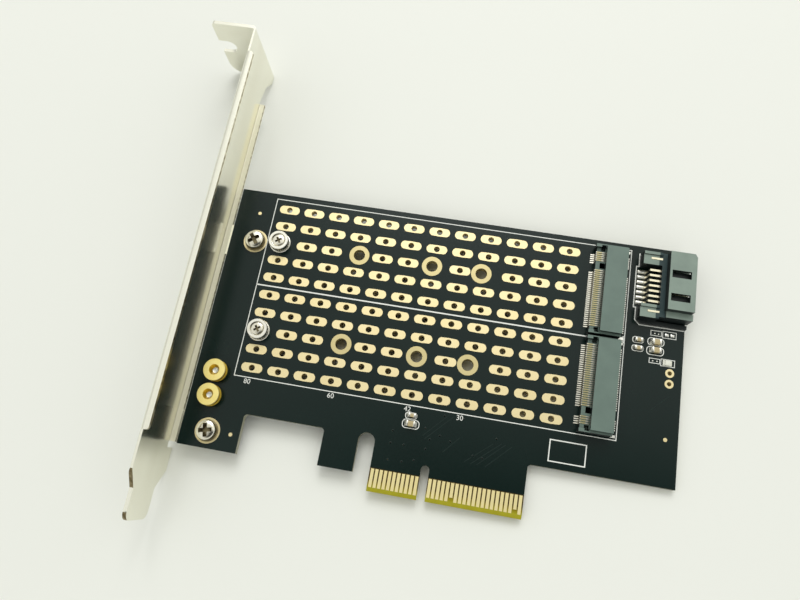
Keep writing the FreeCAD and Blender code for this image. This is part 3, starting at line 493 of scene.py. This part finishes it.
# Printed lines: white epoxy ink screened on the mask. They frame the module field, the sockets,
# the header and the chips, and number the module lengths below the field. Fine copper runs and
# vias stand out a little under the mask.

INK_HEIGHT, COPPER_HEIGHT = 0.02, 0.012
NUMBER_HEIGHT, NUMBER_LINE = 1.15, 18.75
FONT_SIZE = 1.42


def stroke(points, width=0.18, height=INK_HEIGHT):
    """One flat line of ink or copper along points on the board, with mitred corners."""
    line = chain("stroke", [(x, y, 0) for x, y in points])
    bpy.ops.mesh.extrude_region_move(TRANSFORM_OT_translate={"value": (0, 0, height * MM)})
    bpy.ops.object.mode_set(mode="OBJECT")
    broad = line.modifiers.new("width", "SOLIDIFY")
    broad.thickness = width * MM
    broad.offset = 0
    broad.use_even_offset = True
    bpy.ops.object.modifier_apply(modifier=broad.name)
    bpy.ops.object.mode_set(mode="EDIT")
    bpy.ops.mesh.select_all(action="SELECT")
    bpy.ops.mesh.normals_make_consistent(inside=False)
    bpy.ops.object.mode_set(mode="OBJECT")
    return line


def frame_points(low, high, rounding=0.0):
    """The closed outline of a rectangle, with its corners rounded."""
    if not rounding:
        return [low, (high[0], low[1]), high, (low[0], high[1]), low]
    outline = []
    corners = ((high[0], high[1], 0), (low[0], high[1], 90),
               (low[0], low[1], 180), (high[0], low[1], 270))
    for corner_x, corner_y, start in corners:
        inward = math.radians(start + 45)
        centre_x = corner_x - rounding * math.copysign(1, math.cos(inward))
        centre_y = corner_y - rounding * math.copysign(1, math.sin(inward))
        for turn in range(0, 91, 15):
            angle = math.radians(start + turn)
            outline.append((centre_x + rounding * math.cos(angle),
                            centre_y + rounding * math.sin(angle)))
    return outline + outline[:1]


def printed_number(text, spot):
    """A plain number in ink, centred on a spot."""
    bpy.ops.object.select_all(action="DESELECT")
    bpy.ops.object.text_add()
    words = bpy.context.object
    words.data.body = text
    words.data.align_x = "CENTER"
    words.data.size = NUMBER_HEIGHT * FONT_SIZE * MM
    words.data.extrude = INK_HEIGHT / 2 * MM
    words.data.resolution_u = 4
    bpy.ops.object.convert(target="MESH")
    number = bpy.context.object
    number.location = (spot[0] * MM, spot[1] * MM, INK_HEIGHT / 2 * MM)
    bpy.ops.object.transform_apply(location=True, rotation=True, scale=True)
    bpy.ops.object.mode_set(mode="EDIT")
    bpy.ops.mesh.select_all(action="SELECT")
    bpy.ops.mesh.remove_doubles(threshold=MERGE / 2)
    bpy.ops.object.mode_set(mode="OBJECT")
    return number


FIELD_LEFT, FIELD_RIGHT = -47.5, 40.62
FIELD_LOW, FIELD_MIDDLE, FIELD_HIGH = 20.2, 42.83, 65.7
MIDDLE_END = 32.6
PIN_MARK = [(39.75, 43.45), (40.2, 43.85), (40.24, 43.05), (39.75, 43.45)]
HEADER_OUTLINE = [
    (42.6, 65.3), (42.6, 61.9), (42.02, 61.9), (42.02, 51.7), (42.56, 51.7), (42.54, 48.7),
    (43.61, 47.62), (53.9, 47.64)]
CHIP_FRAMES = (
    ((45.9, 43.21), (49.57, 44.93), 0.75),
    ((45.8, 40.95), (49.6, 42.83), 0.75),
    ((42.47, 43.28), (44.97, 44.62), 0.55),
    ((42.44, 41.28), (45.0, 42.6), 0.55),
    ((-6.75, 15.08), (-2.95, 16.98), 0.75),
    ((-6.35, 17.22), (-3.75, 18.56), 0.55))
BARE_FRAMES = (
    ((46.46, 45.55), (48.87, 46.72)),
    ((49.15, 45.33), (52.19, 46.9)),
    ((46.51, 39.06), (48.89, 40.12)),
    ((49.15, 38.72), (52.21, 40.31)))
EMPTY_FRAME = ((26.4, 13.35), (34.4, 18.05))
ink_lines = [
    stroke(frame_points((FIELD_LEFT, FIELD_LOW), (FIELD_RIGHT, FIELD_HIGH)), 0.2),
    stroke([(FIELD_LEFT, FIELD_MIDDLE), (MIDDLE_END, FIELD_MIDDLE)], 0.32),
    stroke(PIN_MARK, 0.5),
    stroke(HEADER_OUTLINE, 0.24),
    stroke(frame_points(*EMPTY_FRAME), 0.25),
]
ink_lines += [stroke(frame_points(*corners)) for corners in CHIP_FRAMES]
ink_lines += [stroke(frame_points(*corners), 0.15) for corners in BARE_FRAMES]
ink_lines += [printed_number(str(length), (SOCKET_REACH - length, NUMBER_LINE))
              for length in (80, 60, 42, 30)]
screen_ink = make_finish("screen_ink", (0.84, 0.85, 0.80), (0.72, 0.74, 0.70), 0.55,
                         stains=900, grain=5000, spread=0.15, bump=0.1)
fit(weld_group("printed_lines", ink_lines), screen_ink, "board_laminate")

masked_copper = make_finish("masked_copper", (0.0030, 0.0142, 0.0116), (0.0022, 0.0118, 0.0096), 0.36,
                            amount=0.8, stains=300, grain=1600, bump=0.03, gloss=0.3)
TRACE_ENDS = (
    ((3.5, 19.59), (-1.79, 13.97)), ((4.5, 19.29), (-1.21, 13.36)), ((6.58, 14.95), (3.17, 11.12)),
    ((14.09, 14.87), (8.26, 9.95)), ((15.91, 15.18), (9.69, 9.74)), ((16.85, 15.12), (11.08, 9.76)),
    ((18.27, 14.9), (12.95, 9.63)), ((51.3, 31.82), (47.42, 28.09)))
via_ring = [(VIA_DRILL, COPPER_HEIGHT), (0.30, COPPER_HEIGHT), (0.32, 0), (VIA_DRILL, 0),
            (VIA_DRILL, COPPER_HEIGHT)]
copper_runs = [stroke(ends, 0.22, COPPER_HEIGHT) for ends in TRACE_ENDS]
copper_runs += [turned("via_ring", via_ring, 12, spot) for spot in VIA_SPOTS]
fit(weld_group("masked_traces", copper_runs), masked_copper, "board_laminate")


# Module sockets: black-green glass-filled mouldings with a comb of gold-flashed spring contacts in
# front and tinned leads soldered behind. A pocket with a peg marks the key of each socket. Their
# tops and the pegs take a paler colour, painted sheen, and their walls a near-black copy, painted
# shade.

def block(low, high, rounding=0.0, segments=2):
    """A box between two corners, in millimetres, with its edges rounded."""
    bpy.ops.object.select_all(action="DESELECT")
    bpy.ops.mesh.primitive_cube_add(size=1, location=(0, 0, 0))
    piece = bpy.context.object
    bpy.ops.object.mode_set(mode="EDIT")
    bpy.ops.mesh.select_all(action="SELECT")
    bpy.ops.transform.resize(value=[(far - near) * MM for near, far in zip(low, high)])
    bpy.ops.transform.translate(value=[(far + near) / 2 * MM for near, far in zip(low, high)])
    if rounding:
        bpy.ops.mesh.bevel(offset=rounding * MM, segments=segments, affect="EDGES")
    bpy.ops.object.mode_set(mode="OBJECT")
    smooth(piece)
    return piece


SHADED = {"amount": 0.7, "stains": 300, "grain": 4200, "spread": 0.15, "bump": 0.08, "gloss": 0.3}
# Paler plastic colour for the tops: painted sheen.
socket_plastic = make_finish("socket_plastic", (0.132, 0.190, 0.160), (0.108, 0.158, 0.134), 0.5,
                             amount=0.7, stains=240, grain=4200, spread=0.15, bump=0.12)
# Near-black copy for walls and low faces: painted shade.
shaded_plastic = make_finish("shaded_plastic", (0.010, 0.014, 0.014), (0.016, 0.022, 0.022), 0.4,
                             **SHADED)
tin_plate = make_finish("tin_plate", (0.86, 0.85, 0.78), (0.70, 0.68, 0.58), 0.28,
                        metallic=1.0, stains=400, grain=2500, bump=0.04)
solder = make_finish("solder", (0.88, 0.88, 0.82), (0.66, 0.65, 0.56), 0.3,
                     metallic=1.0, stains=1500, grain=3500, spread=0.25, bump=0.25)
spring_flash = make_finish("spring_flash", (1.0, 0.98, 0.94), (0.84, 0.80, 0.72), 0.3,
                           metallic=1.0, stains=500, grain=2500, bump=0.03)
TINNED, FLASHED, BARE = (0.78, 0.77, 0.70), (0.50, 0.45, 0.26), (0.60, 0.59, 0.52)
colour_zones(spring_flash, "X", [(31.95, TINNED), (32.05, FLASHED), (33.05, FLASHED), (33.3, BARE)])
SOCKET_METALS = {"front_contacts": spring_flash, "rear_contacts": tin_plate, "anchors": solder}
FACING_UP = 0.6
POCKET_FRONT, COVER_FRONT = 32.95, 34.0
POCKET_FLOOR, POCKET_TOP = 0.7, 3.2
END_NEAR, END_FAR = 0.25, 1.6
KEY_BELOW, KEY_ABOVE = 0.62, 0.82
KEY_LINES = {"upper": SOCKET_LINES[0] + 5.625, "lower": SOCKET_LINES[1] - 6.125}
PEG_X, PEG_OFFSET = 33.5, 0.2
PEG_PROFILE = [(0, 0.5), (0.4, 0.5), (0.4, 1.6), (0.28, 1.85), (0, 1.95)]
key_pegs = []
for level, key_line in KEY_LINES.items():
    low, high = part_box(level + "_socket_housing")
    housing = copy_solid(level + "_socket_housing", level + "_socket_moulding")
    pockets = ((low.y / MM + END_NEAR, low.y / MM + END_FAR),
               (high.y / MM - END_FAR, high.y / MM - END_NEAR),
               (key_line - KEY_BELOW, key_line + KEY_ABOVE))
    for start, end in pockets:
        cut_with(housing, block((POCKET_FRONT, start, POCKET_FLOOR), (COVER_FRONT, end, POCKET_TOP)))
    soften(housing, 0.06)
    fit(housing, socket_plastic, "socket_plastic", level + "_socket_housing")
    # Walls and steep faces take the near-black copy: painted shade.
    refinish(housing, shaded_plastic, lambda spot, normal: normal.z < FACING_UP)
    key_pegs.append(turned("key_peg", PEG_PROFILE, 20, (PEG_X, key_line + PEG_OFFSET)))
    for row, finish in SOCKET_METALS.items():
        finish_node(f"{level}_socket_{row}", finish)
fit(weld_group("socket_key_pegs", key_pegs), socket_plastic, "socket_plastic")


# SATA header: a black moulding that overhangs the board's end, with seven bent legs and two flat
# hold-downs pressed through its arms. Two windows in its roof take the plug's latch. Its tops take
# a paler colour, painted sheen; its walls, its low faces, the blocks under the windows and the strip
# behind its block take darker copies, painted shade.

# Paler plastic colour for the header's tops: painted sheen.
lit_header_plastic = make_finish("lit_header_plastic", (0.225, 0.290, 0.245), (0.180, 0.235, 0.200), 0.5,
                             amount=0.7, stains=260, grain=3800, spread=0.15, bump=0.15)
# Darker copy for the strip behind the block: painted shade.
shaded_strip_plastic = make_finish("shaded_strip_plastic", (0.026, 0.050, 0.052), (0.034, 0.060, 0.062), 0.4,
                            **SHADED)
leg_tin = make_finish("leg_tin", (0.88, 0.82, 0.62), (0.74, 0.66, 0.44), 0.27,
                      metallic=1.0, stains=400, grain=2500, bump=0.04)
STRIP_FRONT, STRIP_BACK = 46.25, 48.2
SKIRT_TOP = 1.5 * MM
LATCH_LINES, LATCH_HALF = (59.27, 53.65), 0.88
LATCH_FRONT, LATCH_BACK = 48.7, 54.2
LATCH_BASE, LATCH_FLOOR = 3.7, 4.2
HEADER_LINE, LEG_PITCH = 56.74, 1.27
MOUND_FRONT, MOUND_BACK, MOUND_HALF = 42.2, 44.35, 0.44
MOUND_LOW, MOUND_TOP, MOUND_ROUNDING = -0.1, 0.32, 0.3
header = copy_solid("sata_housing", "sata_moulding")
split_at(header, (STRIP_FRONT * MM, 0, 0), (1, 0, 0))
soften(header, 0.07)
fit(header, lit_header_plastic, "sata_plastic", "sata_housing")
# The strip behind the block takes the darker copy: painted shade.
refinish(header, shaded_strip_plastic, lambda spot, normal: STRIP_FRONT < spot.x / MM < STRIP_BACK)
# Walls and faces low down take the near-black copy: painted shade.
refinish(header, shaded_plastic, lambda spot, normal: normal.z < FACING_UP or spot.z < SKIRT_TOP)
latch_floors = [block((LATCH_FRONT, line - LATCH_HALF, LATCH_BASE),
                      (LATCH_BACK, line + LATCH_HALF, LATCH_FLOOR), 0.05) for line in LATCH_LINES]
# The blocks under the latch windows take the near-black copy: painted shade.
fit(weld_group("latch_floors", latch_floors), shaded_plastic, "sata_plastic")
for node in ("sata_contacts", "sata_hold_downs"):
    finish_node(node, leg_tin)
leg_lines = [HEADER_LINE + leg * LEG_PITCH for leg in range(-3, 4)]
mounds = [block((MOUND_FRONT, line - MOUND_HALF, MOUND_LOW),
                (MOUND_BACK, line + MOUND_HALF, MOUND_TOP), MOUND_ROUNDING, 4) for line in leg_lines]
header_solder = weld_group("header_solder", mounds)
select_vertices(header_solder, lambda spot: spot.z < 0)
bpy.ops.transform.resize(value=(1, 1, 0), center_override=(0, 0, 0))
bpy.ops.object.mode_set(mode="OBJECT")
fit(header_solder, solder, "tinned_leads")


# Chip capacitors and light: ceramic blocks with dipped metal ends, each held by a fillet of solder
# at both ends, and one small light in a white body under a pale lens.

chip_ceramic = make_finish("chip_ceramic", (0.50, 0.41, 0.22), (0.38, 0.30, 0.15), 0.42,
                           stains=900, grain=5000, bump=0.08)
CHIP_SIZES = {"large": (2.0, 1.25, 1.25), "small": (1.6, 0.85, 0.8)}
CHIP_SPOTS = {"large": ((47.75, 43.91), (47.75, 41.98), (-4.85, 16.05)),
              "small": ((43.8, 43.91), (43.8, 41.98), (-4.85, 17.98))}
CHIP_END = 0.42
FILLET_REACH, FILLET_HEIGHT, FILLET_DROP = 0.42, 0.55, 0.48


def chip_pieces(spot, length, width, height):
    """The ceramic body, the two dipped ends and the two solder fillets of one chip."""
    x, y = spot
    half, side_edge = length / 2, width / 2
    body = block((x - half + 0.1, y - side_edge + 0.03, 0.05),
                 (x + half - 0.1, y + side_edge - 0.03, height - 0.03), 0.06)
    ends, fillets = [], []
    for side in (-1, 1):
        inner, outer = x + side * (half - CHIP_END), x + side * half
        ends.append(block((min(inner, outer), y - side_edge, 0.02),
                          (max(inner, outer), y + side_edge, height), 0.09))
        toe = outer + side * FILLET_REACH
        fillet = block((min(outer, toe), y - side_edge + 0.03, 0),
                       (max(outer, toe), y + side_edge - 0.03, FILLET_HEIGHT))
        select_vertices(fillet, lambda place: (
            place.z > 0.3 * MM and (place.x - x * MM) * side > (half + 0.2) * MM))
        bpy.ops.transform.translate(value=(0, 0, -FILLET_DROP * MM))
        bpy.ops.mesh.select_all(action="SELECT")
        bpy.ops.mesh.bevel(offset=0.07 * MM, segments=2, affect="EDGES")
        bpy.ops.object.mode_set(mode="OBJECT")
        fillets.append(fillet)
    return body, ends, fillets


chip_metal, chip_solder = [], []
for kind, sizes in CHIP_SIZES.items():
    bodies = []
    for spot in CHIP_SPOTS[kind]:
        body, ends, fillets = chip_pieces(spot, *sizes)
        bodies.append(body)
        chip_metal += ends
        chip_solder += fillets
    fit(weld_group(kind + "_chip_bodies", bodies), chip_ceramic, "chip_ceramic", kind + "_capacitors")
fit(weld_group("chip_ends", chip_metal), tin_plate, "tinned_leads")
BARE_DOTS = ((47.36, 46.08), (48.23, 46.03), (47.31, 39.56), (48.28, 39.59))
BARE_LANDS = (50.07, 51.35)
chip_solder += [turned("bare_dot", [(0, 0.04), (0.10, 0.04), (0.16, 0)], 12, spot) for spot in BARE_DOTS]
chip_solder += [block((x - 0.42, 45.7, 0), (x + 0.42, 46.4, 0.08), 0.04) for x in BARE_LANDS]
fit(weld_group("chip_solder", chip_solder), solder, "tinned_leads")

lens_cream = make_finish("lens_cream", (0.80, 0.80, 0.70), (0.70, 0.70, 0.58), 0.22,
                         stains=900, grain=4000, bump=0.04)
light_low, light_high = [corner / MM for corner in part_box("status_led")]
light = block((light_low.x, light_low.y, 0), (light_high.x, light_high.y, 0.4), 0.06)
lens = block((light_low.x + 0.4, light_low.y + 0.02, 0.3),
             (light_high.x - 0.4, light_high.y - 0.02, 0.8), 0.15, 3)
fit(weld_group("status_light", [light, lens]), lens_cream, "led_lens", "status_led")


# Bracket screws: bright pan heads on a thin rolled flange, with a deep cross recess. Their shanks
# go down through the board and into the bracket's tabs. The recess, the flange and the wall of the
# head take a dark finish: painted shade.

screw_nickel = make_finish("screw_nickel", (0.80, 0.77, 0.66), (0.62, 0.58, 0.45), 0.2,
                           metallic=1.0, stains=500, grain=1800, spread=0.12, bump=0.05)
# Dark finish for painted shade in recesses and round screw heads.
recess_shade = make_finish("recess_shade", (0.24, 0.205, 0.12), (0.10, 0.08, 0.045), 0.45,
                         metallic=1.0, stains=900, grain=2500, bump=0.1)


def off_axis(place, spot):
    """How far a place lies from the upright axis at a spot, in millimetres."""
    return (place.xy - Vector(spot) * MM).length / MM


def cut_cross(head, spot, reach, width, floor, top, turn):
    """Cut a tapered cross into a screw head, turned by an angle."""
    for quarter in (0, 90):
        arm = block((-reach, -width / 2, floor), (reach, width / 2, top + 0.5))
        select_vertices(arm, lambda place: place.z < (floor + 0.1) * MM)
        bpy.ops.transform.resize(value=(0.45, 0.8, 1), center_override=(0, 0, floor * MM))
        bpy.ops.object.mode_set(mode="OBJECT")
        arm.rotation_euler = (0, 0, math.radians(turn + quarter))
        arm.location = (spot[0] * MM, spot[1] * MM, 0)
        bpy.ops.object.transform_apply(location=True, rotation=True, scale=True)
        cut_with(head, arm)
    smooth(head)


def darken_cross(head, spot, reach, floor, top):
    """Paint shade inside a recess with a dark finish on its faces."""
    refinish(head, recess_shade, lambda place, normal: (
        off_axis(place, spot) < reach and (floor - 0.05) * MM < place.z < (top - 0.12) * MM))


HEAD_TOP, RECESS_FLOOR = 1.9, 0.7
CROSS_REACH, CROSS_WIDTH, SHADE_REACH = 1.9, 1.0, 1.75
WALL_LOW, WALL_HIGH, WALL_RADIUS = 0.01 * MM, 1.3 * MM, 2.0
SCREW_PROFILE = [
    (0, -3.16), (1.2, -3.16), (1.44, -2.9), (1.44, 0.02), (2.5, 0.02), (2.5, 0.2), (2.44, 0.26),
    (2.32, 0.3), (2.28, 1.34), (2.18, 1.6), (1.93, 1.76), (1.4, 1.86), (0.7, 1.89), (0, HEAD_TOP)]
for level, line, turn in (("upper", SCREW_LINES[0], 38), ("lower", SCREW_LINES[1], 13)):
    spot = (SCREW_X, line)
    screw = turned(level + "_bracket_screw", SCREW_PROFILE, 48, spot)
    cut_cross(screw, spot, CROSS_REACH, CROSS_WIDTH, RECESS_FLOOR, HEAD_TOP, turn)
    fit(screw, screw_nickel, "screw_steel", "bracket_screw_" + level)
    # The cross recess takes the dark finish: painted shade.
    darken_cross(screw, spot, SHADE_REACH, RECESS_FLOOR, HEAD_TOP)
    # The head's wall and flange take the dark finish: painted shade.
    refinish(screw, recess_shade, lambda place, normal: (
        WALL_LOW < place.z < WALL_HIGH and off_axis(place, spot) > WALL_RADIUS))


# Module standoffs and screws: knurled steel nuts soldered at the long module holes, each with a
# small cross-recess screw sunk in its counterbore.

standoff_steel = make_finish("standoff_steel", (0.90, 0.88, 0.80), (0.74, 0.71, 0.60), 0.24,
                             metallic=1.0, stains=600, grain=2200, spread=0.12, bump=0.05)
STANDOFF_X = SOCKET_REACH - 80
NUT_PROFILE = [
    (0.86, 0), (2.6, 0), (2.6, 0.4), (2.52, 0.5), (2.2, 0.54), (2.2, 0.72), (2.4, 0.82), (2.4, 2.36),
    (2.28, 2.5), (1.76, 2.5), (1.68, 2.42), (1.68, 1.4), (0.86, 1.4), (0.86, 0)]
KNURL_COUNT, KNURL_SIZE, KNURL_LENGTH = 26, 0.13 * MM, 1.3 * MM
KNURL_RADIUS, KNURL_MIDDLE = 2.42, 1.55
MODULE_TOP, MODULE_FLOOR = 2.3, 1.7
MODULE_REACH, MODULE_WIDTH, MODULE_SHADE_REACH, MODULE_TURN = 1.15, 0.56, 1.1, 35
MODULE_PROFILE = [
    (0, 0.2), (0.65, 0.2), (0.8, 0.35), (0.8, 1.4), (1.5, 1.4), (1.5, 2.05), (1.4, 2.2), (1.1, 2.28),
    (0, MODULE_TOP)]
for level, line in zip(("upper", "lower"), SOCKET_LINES):
    spot = (STANDOFF_X, line)
    nut = turned(level + "_standoff_nut", NUT_PROFILE, 52, spot)
    bpy.ops.object.select_all(action="DESELECT")
    bpy.ops.mesh.primitive_cylinder_add(vertices=6, radius=KNURL_SIZE, depth=KNURL_LENGTH,
                                        location=(0, 0, 0))
    knurl = bpy.context.object
    bpy.ops.object.mode_set(mode="EDIT")
    bpy.ops.mesh.select_all(action="SELECT")
    bpy.ops.transform.translate(value=((STANDOFF_X + KNURL_RADIUS) * MM, line * MM, KNURL_MIDDLE * MM))
    bpy.ops.mesh.spin(steps=KNURL_COUNT, dupli=True, angle=2 * math.pi,
                      center=(STANDOFF_X * MM, line * MM, 0), axis=(0, 0, 1))
    bpy.ops.mesh.select_all(action="SELECT")
    bpy.ops.mesh.remove_doubles(threshold=0.005 * MM)
    bpy.ops.object.mode_set(mode="OBJECT")
    cut_with(nut, knurl)
    smooth(nut)
    fit(nut, standoff_steel, "standoff_steel", "ssd_standoff_" + level)
    screw = turned(level + "_module_screw", MODULE_PROFILE, 36, spot)
    cut_cross(screw, spot, MODULE_REACH, MODULE_WIDTH, MODULE_FLOOR, MODULE_TOP, MODULE_TURN)
    fit(screw, screw_nickel, "screw_steel", "ssd_screw_" + level)
    # The recess takes the dark finish: painted shade.
    darken_cross(screw, spot, MODULE_SHADE_REACH, MODULE_FLOOR, MODULE_TOP)


# Spare standoffs: two brass spools standing on the board beside the bracket, each with a conical
# mouth above its tapped bore, which is filled with solder. Groove, lower flange and mouth take a
# darker copy of the brass: painted shade.

TURNED_BRASS = {"stains": 500, "grain": 2000, "spread": 0.12, "bump": 0.05}
spool_brass = make_finish("spool_brass", (0.98, 0.83, 0.31), (0.92, 0.73, 0.22), 0.3,
                          metallic=0.5, **TURNED_BRASS)
shaded_brass = make_finish("shaded_brass", (0.66, 0.47, 0.06), (0.50, 0.34, 0.04), 0.35,
                           metallic=0.9, **TURNED_BRASS)
SPARE_X, SPARE_LINES = -51.7, {"upper": 20.4, "lower": 14.65}
SPOOL_PROFILE = [
    (0.64, 0), (2.5, 0), (2.55, 0.06), (2.55, 0.62), (2.46, 0.7), (2.1, 0.74), (2.1, 1.76),
    (2.46, 1.8), (2.55, 1.88), (2.55, 2.4), (2.45, 2.5), (1.3, 2.5), (1.2, 2.42), (0.64, 1.3),
    (0.64, 0)]
PLUG_PROFILE = [(0, 0.9), (0.64, 0.9), (0.64, 1.32), (0.4, 1.27), (0, 1.25)]
GROOVE_TOP, MOUTH_TOP, MOUTH_RADIUS = 1.78 * MM, 2.45 * MM, 1.25
plugs = []
for level, line in SPARE_LINES.items():
    spot = (SPARE_X, line)
    spool = turned(level + "_spare_spool", SPOOL_PROFILE, 48, spot)
    fit(spool, spool_brass, "spare_brass", "spare_standoff_" + level)
    # Groove, lower flange and mouth take the darker copy of the brass: painted shade.
    refinish(spool, shaded_brass, lambda place, normal: place.z < GROOVE_TOP or (
        place.z < MOUTH_TOP and off_axis(place, spot) < MOUTH_RADIUS))
    plugs.append(turned("spool_plug", PLUG_PROFILE, 24, spot))
fit(weld_group("spool_plugs", plugs), solder, "tinned_leads")


# Floor and light: a plain off-white table under the card, which lies on the bracket's ear and
# shoulder and on one corner of the board. One broad lamp hangs behind it, in a pale room that is
# brightest overhead, with one dim patch in the ceiling in front.

table_white = make_finish("table_white", (0.83, 0.84, 0.79), (0.81, 0.82, 0.77), 0.7,
                          stains=4, grain=300, spread=0.1, bump=0.0)
TABLE_SIZE, TABLE_GAP = 6, 0.03
rest_points = [Vector((-59.2, -3.75, -4.3)), Vector((-59.2, 102.4, -6.45)), Vector((54.0, 11.8, -1.6))]
floor_up = (rest_points[2] - rest_points[0]).cross(rest_points[1] - rest_points[0]).normalized()
bpy.ops.mesh.primitive_plane_add(size=TABLE_SIZE, location=(rest_points[0] - floor_up * TABLE_GAP) * MM,
                                 rotation=floor_up.to_track_quat("Z", "Y").to_euler())
table = bpy.context.object
table.name = "table"
table.data.materials.append(table_white)

world = bpy.data.worlds.new("pale_room")
bpy.context.scene.world = world
world.use_nodes = True
room = world.node_tree
sky = room.nodes["Background"]
sky.inputs["Color"].default_value = (0.99, 1.0, 0.955, 1)
facing = room.nodes.new("ShaderNodeTexCoord")
sides = room.nodes.new("ShaderNodeSeparateXYZ")
room.links.new(facing.outputs["Generated"], sides.inputs[0])


def room_shade(axis, start, end, dark, bright):
    """Let the room's brightness change smoothly along one axis."""
    shade = room.nodes.new("ShaderNodeMapRange")
    shade.interpolation_type = "SMOOTHSTEP"
    for label, value in (("From Min", start), ("From Max", end), ("To Min", dark), ("To Max", bright)):
        shade.inputs[label].default_value = value
    room.links.new(sides.outputs[axis], shade.inputs["Value"])
    return shade


def room_math(operation, first, second):
    """Combine two brightnesses of the room."""
    combined = room.nodes.new("ShaderNodeMath")
    combined.operation = operation
    for socket, part in zip(combined.inputs, (first, second)):
        if isinstance(part, float):
            socket.default_value = part
        else:
            room.links.new(part.outputs[0], socket)
    return combined


overhead = room_shade("Z", 0.05, 0.85, 0.66, 0.99)
rightward = room_shade("X", -0.35, 0.35, 0.96, 1.16)
near_side = room_shade("Y", 0.0, 0.19, 1.0, 0.0)
right_half = room_shade("X", -0.42, 0.0, 0.0, 1.0)
ceiling = room_shade("Z", 0.7, 0.9, 0.0, 1.0)
dark_patch = room_math("MULTIPLY", room_math("MULTIPLY", near_side, right_half), ceiling)
clear_patch = room_math("SUBTRACT", 1.0, dark_patch)
brightness = room_math("MULTIPLY", room_math("MULTIPLY", overhead, rightward), clear_patch)
room.links.new(brightness.outputs[0], sky.inputs["Strength"])

LAMP_TOWARDS = Vector((-0.05, 0.67, 0.73)).normalized()
LAMP_DISTANCE, LAMP_WIDTH, LAMP_POWER = 1.5, 0.7, 7.2
bpy.ops.object.light_add(type="AREA", location=LAMP_TOWARDS * LAMP_DISTANCE,
                         rotation=LAMP_TOWARDS.to_track_quat("Z", "Y").to_euler())
lamp = bpy.context.object
lamp.data.shape = "SQUARE"
lamp.data.size = LAMP_WIDTH
lamp.data.energy = LAMP_POWER
bpy.context.scene.view_settings.view_transform = "Standard"


# Camera: a wide lens close above the card, turned a little to the left, with the whole card and
# a margin of table in view.

SENSOR_WIDTH, PICTURE_WIDTH, FOCAL_PIXELS = 36, 800, 649.416
CAMERA_SPOT = Vector((1.845, 2.516, 148.954)) * MM
bpy.ops.object.camera_add()
camera = bpy.context.object
across = Vector((0.9836759, 0.1743396, -0.0445804))
down = Vector((0.1550685, -0.9469358, -0.2815429))
ahead = Vector((-0.0912989, 0.2700339, -0.9585125))
camera_turn = Matrix((across, -down, -ahead)).transposed().to_4x4()
camera.matrix_world = Matrix.Translation(CAMERA_SPOT) @ camera_turn
camera.data.sensor_width = SENSOR_WIDTH
camera.data.lens = FOCAL_PIXELS * SENSOR_WIDTH / PICTURE_WIDTH
camera.data.clip_start = 0.005
bpy.context.scene.camera = camera
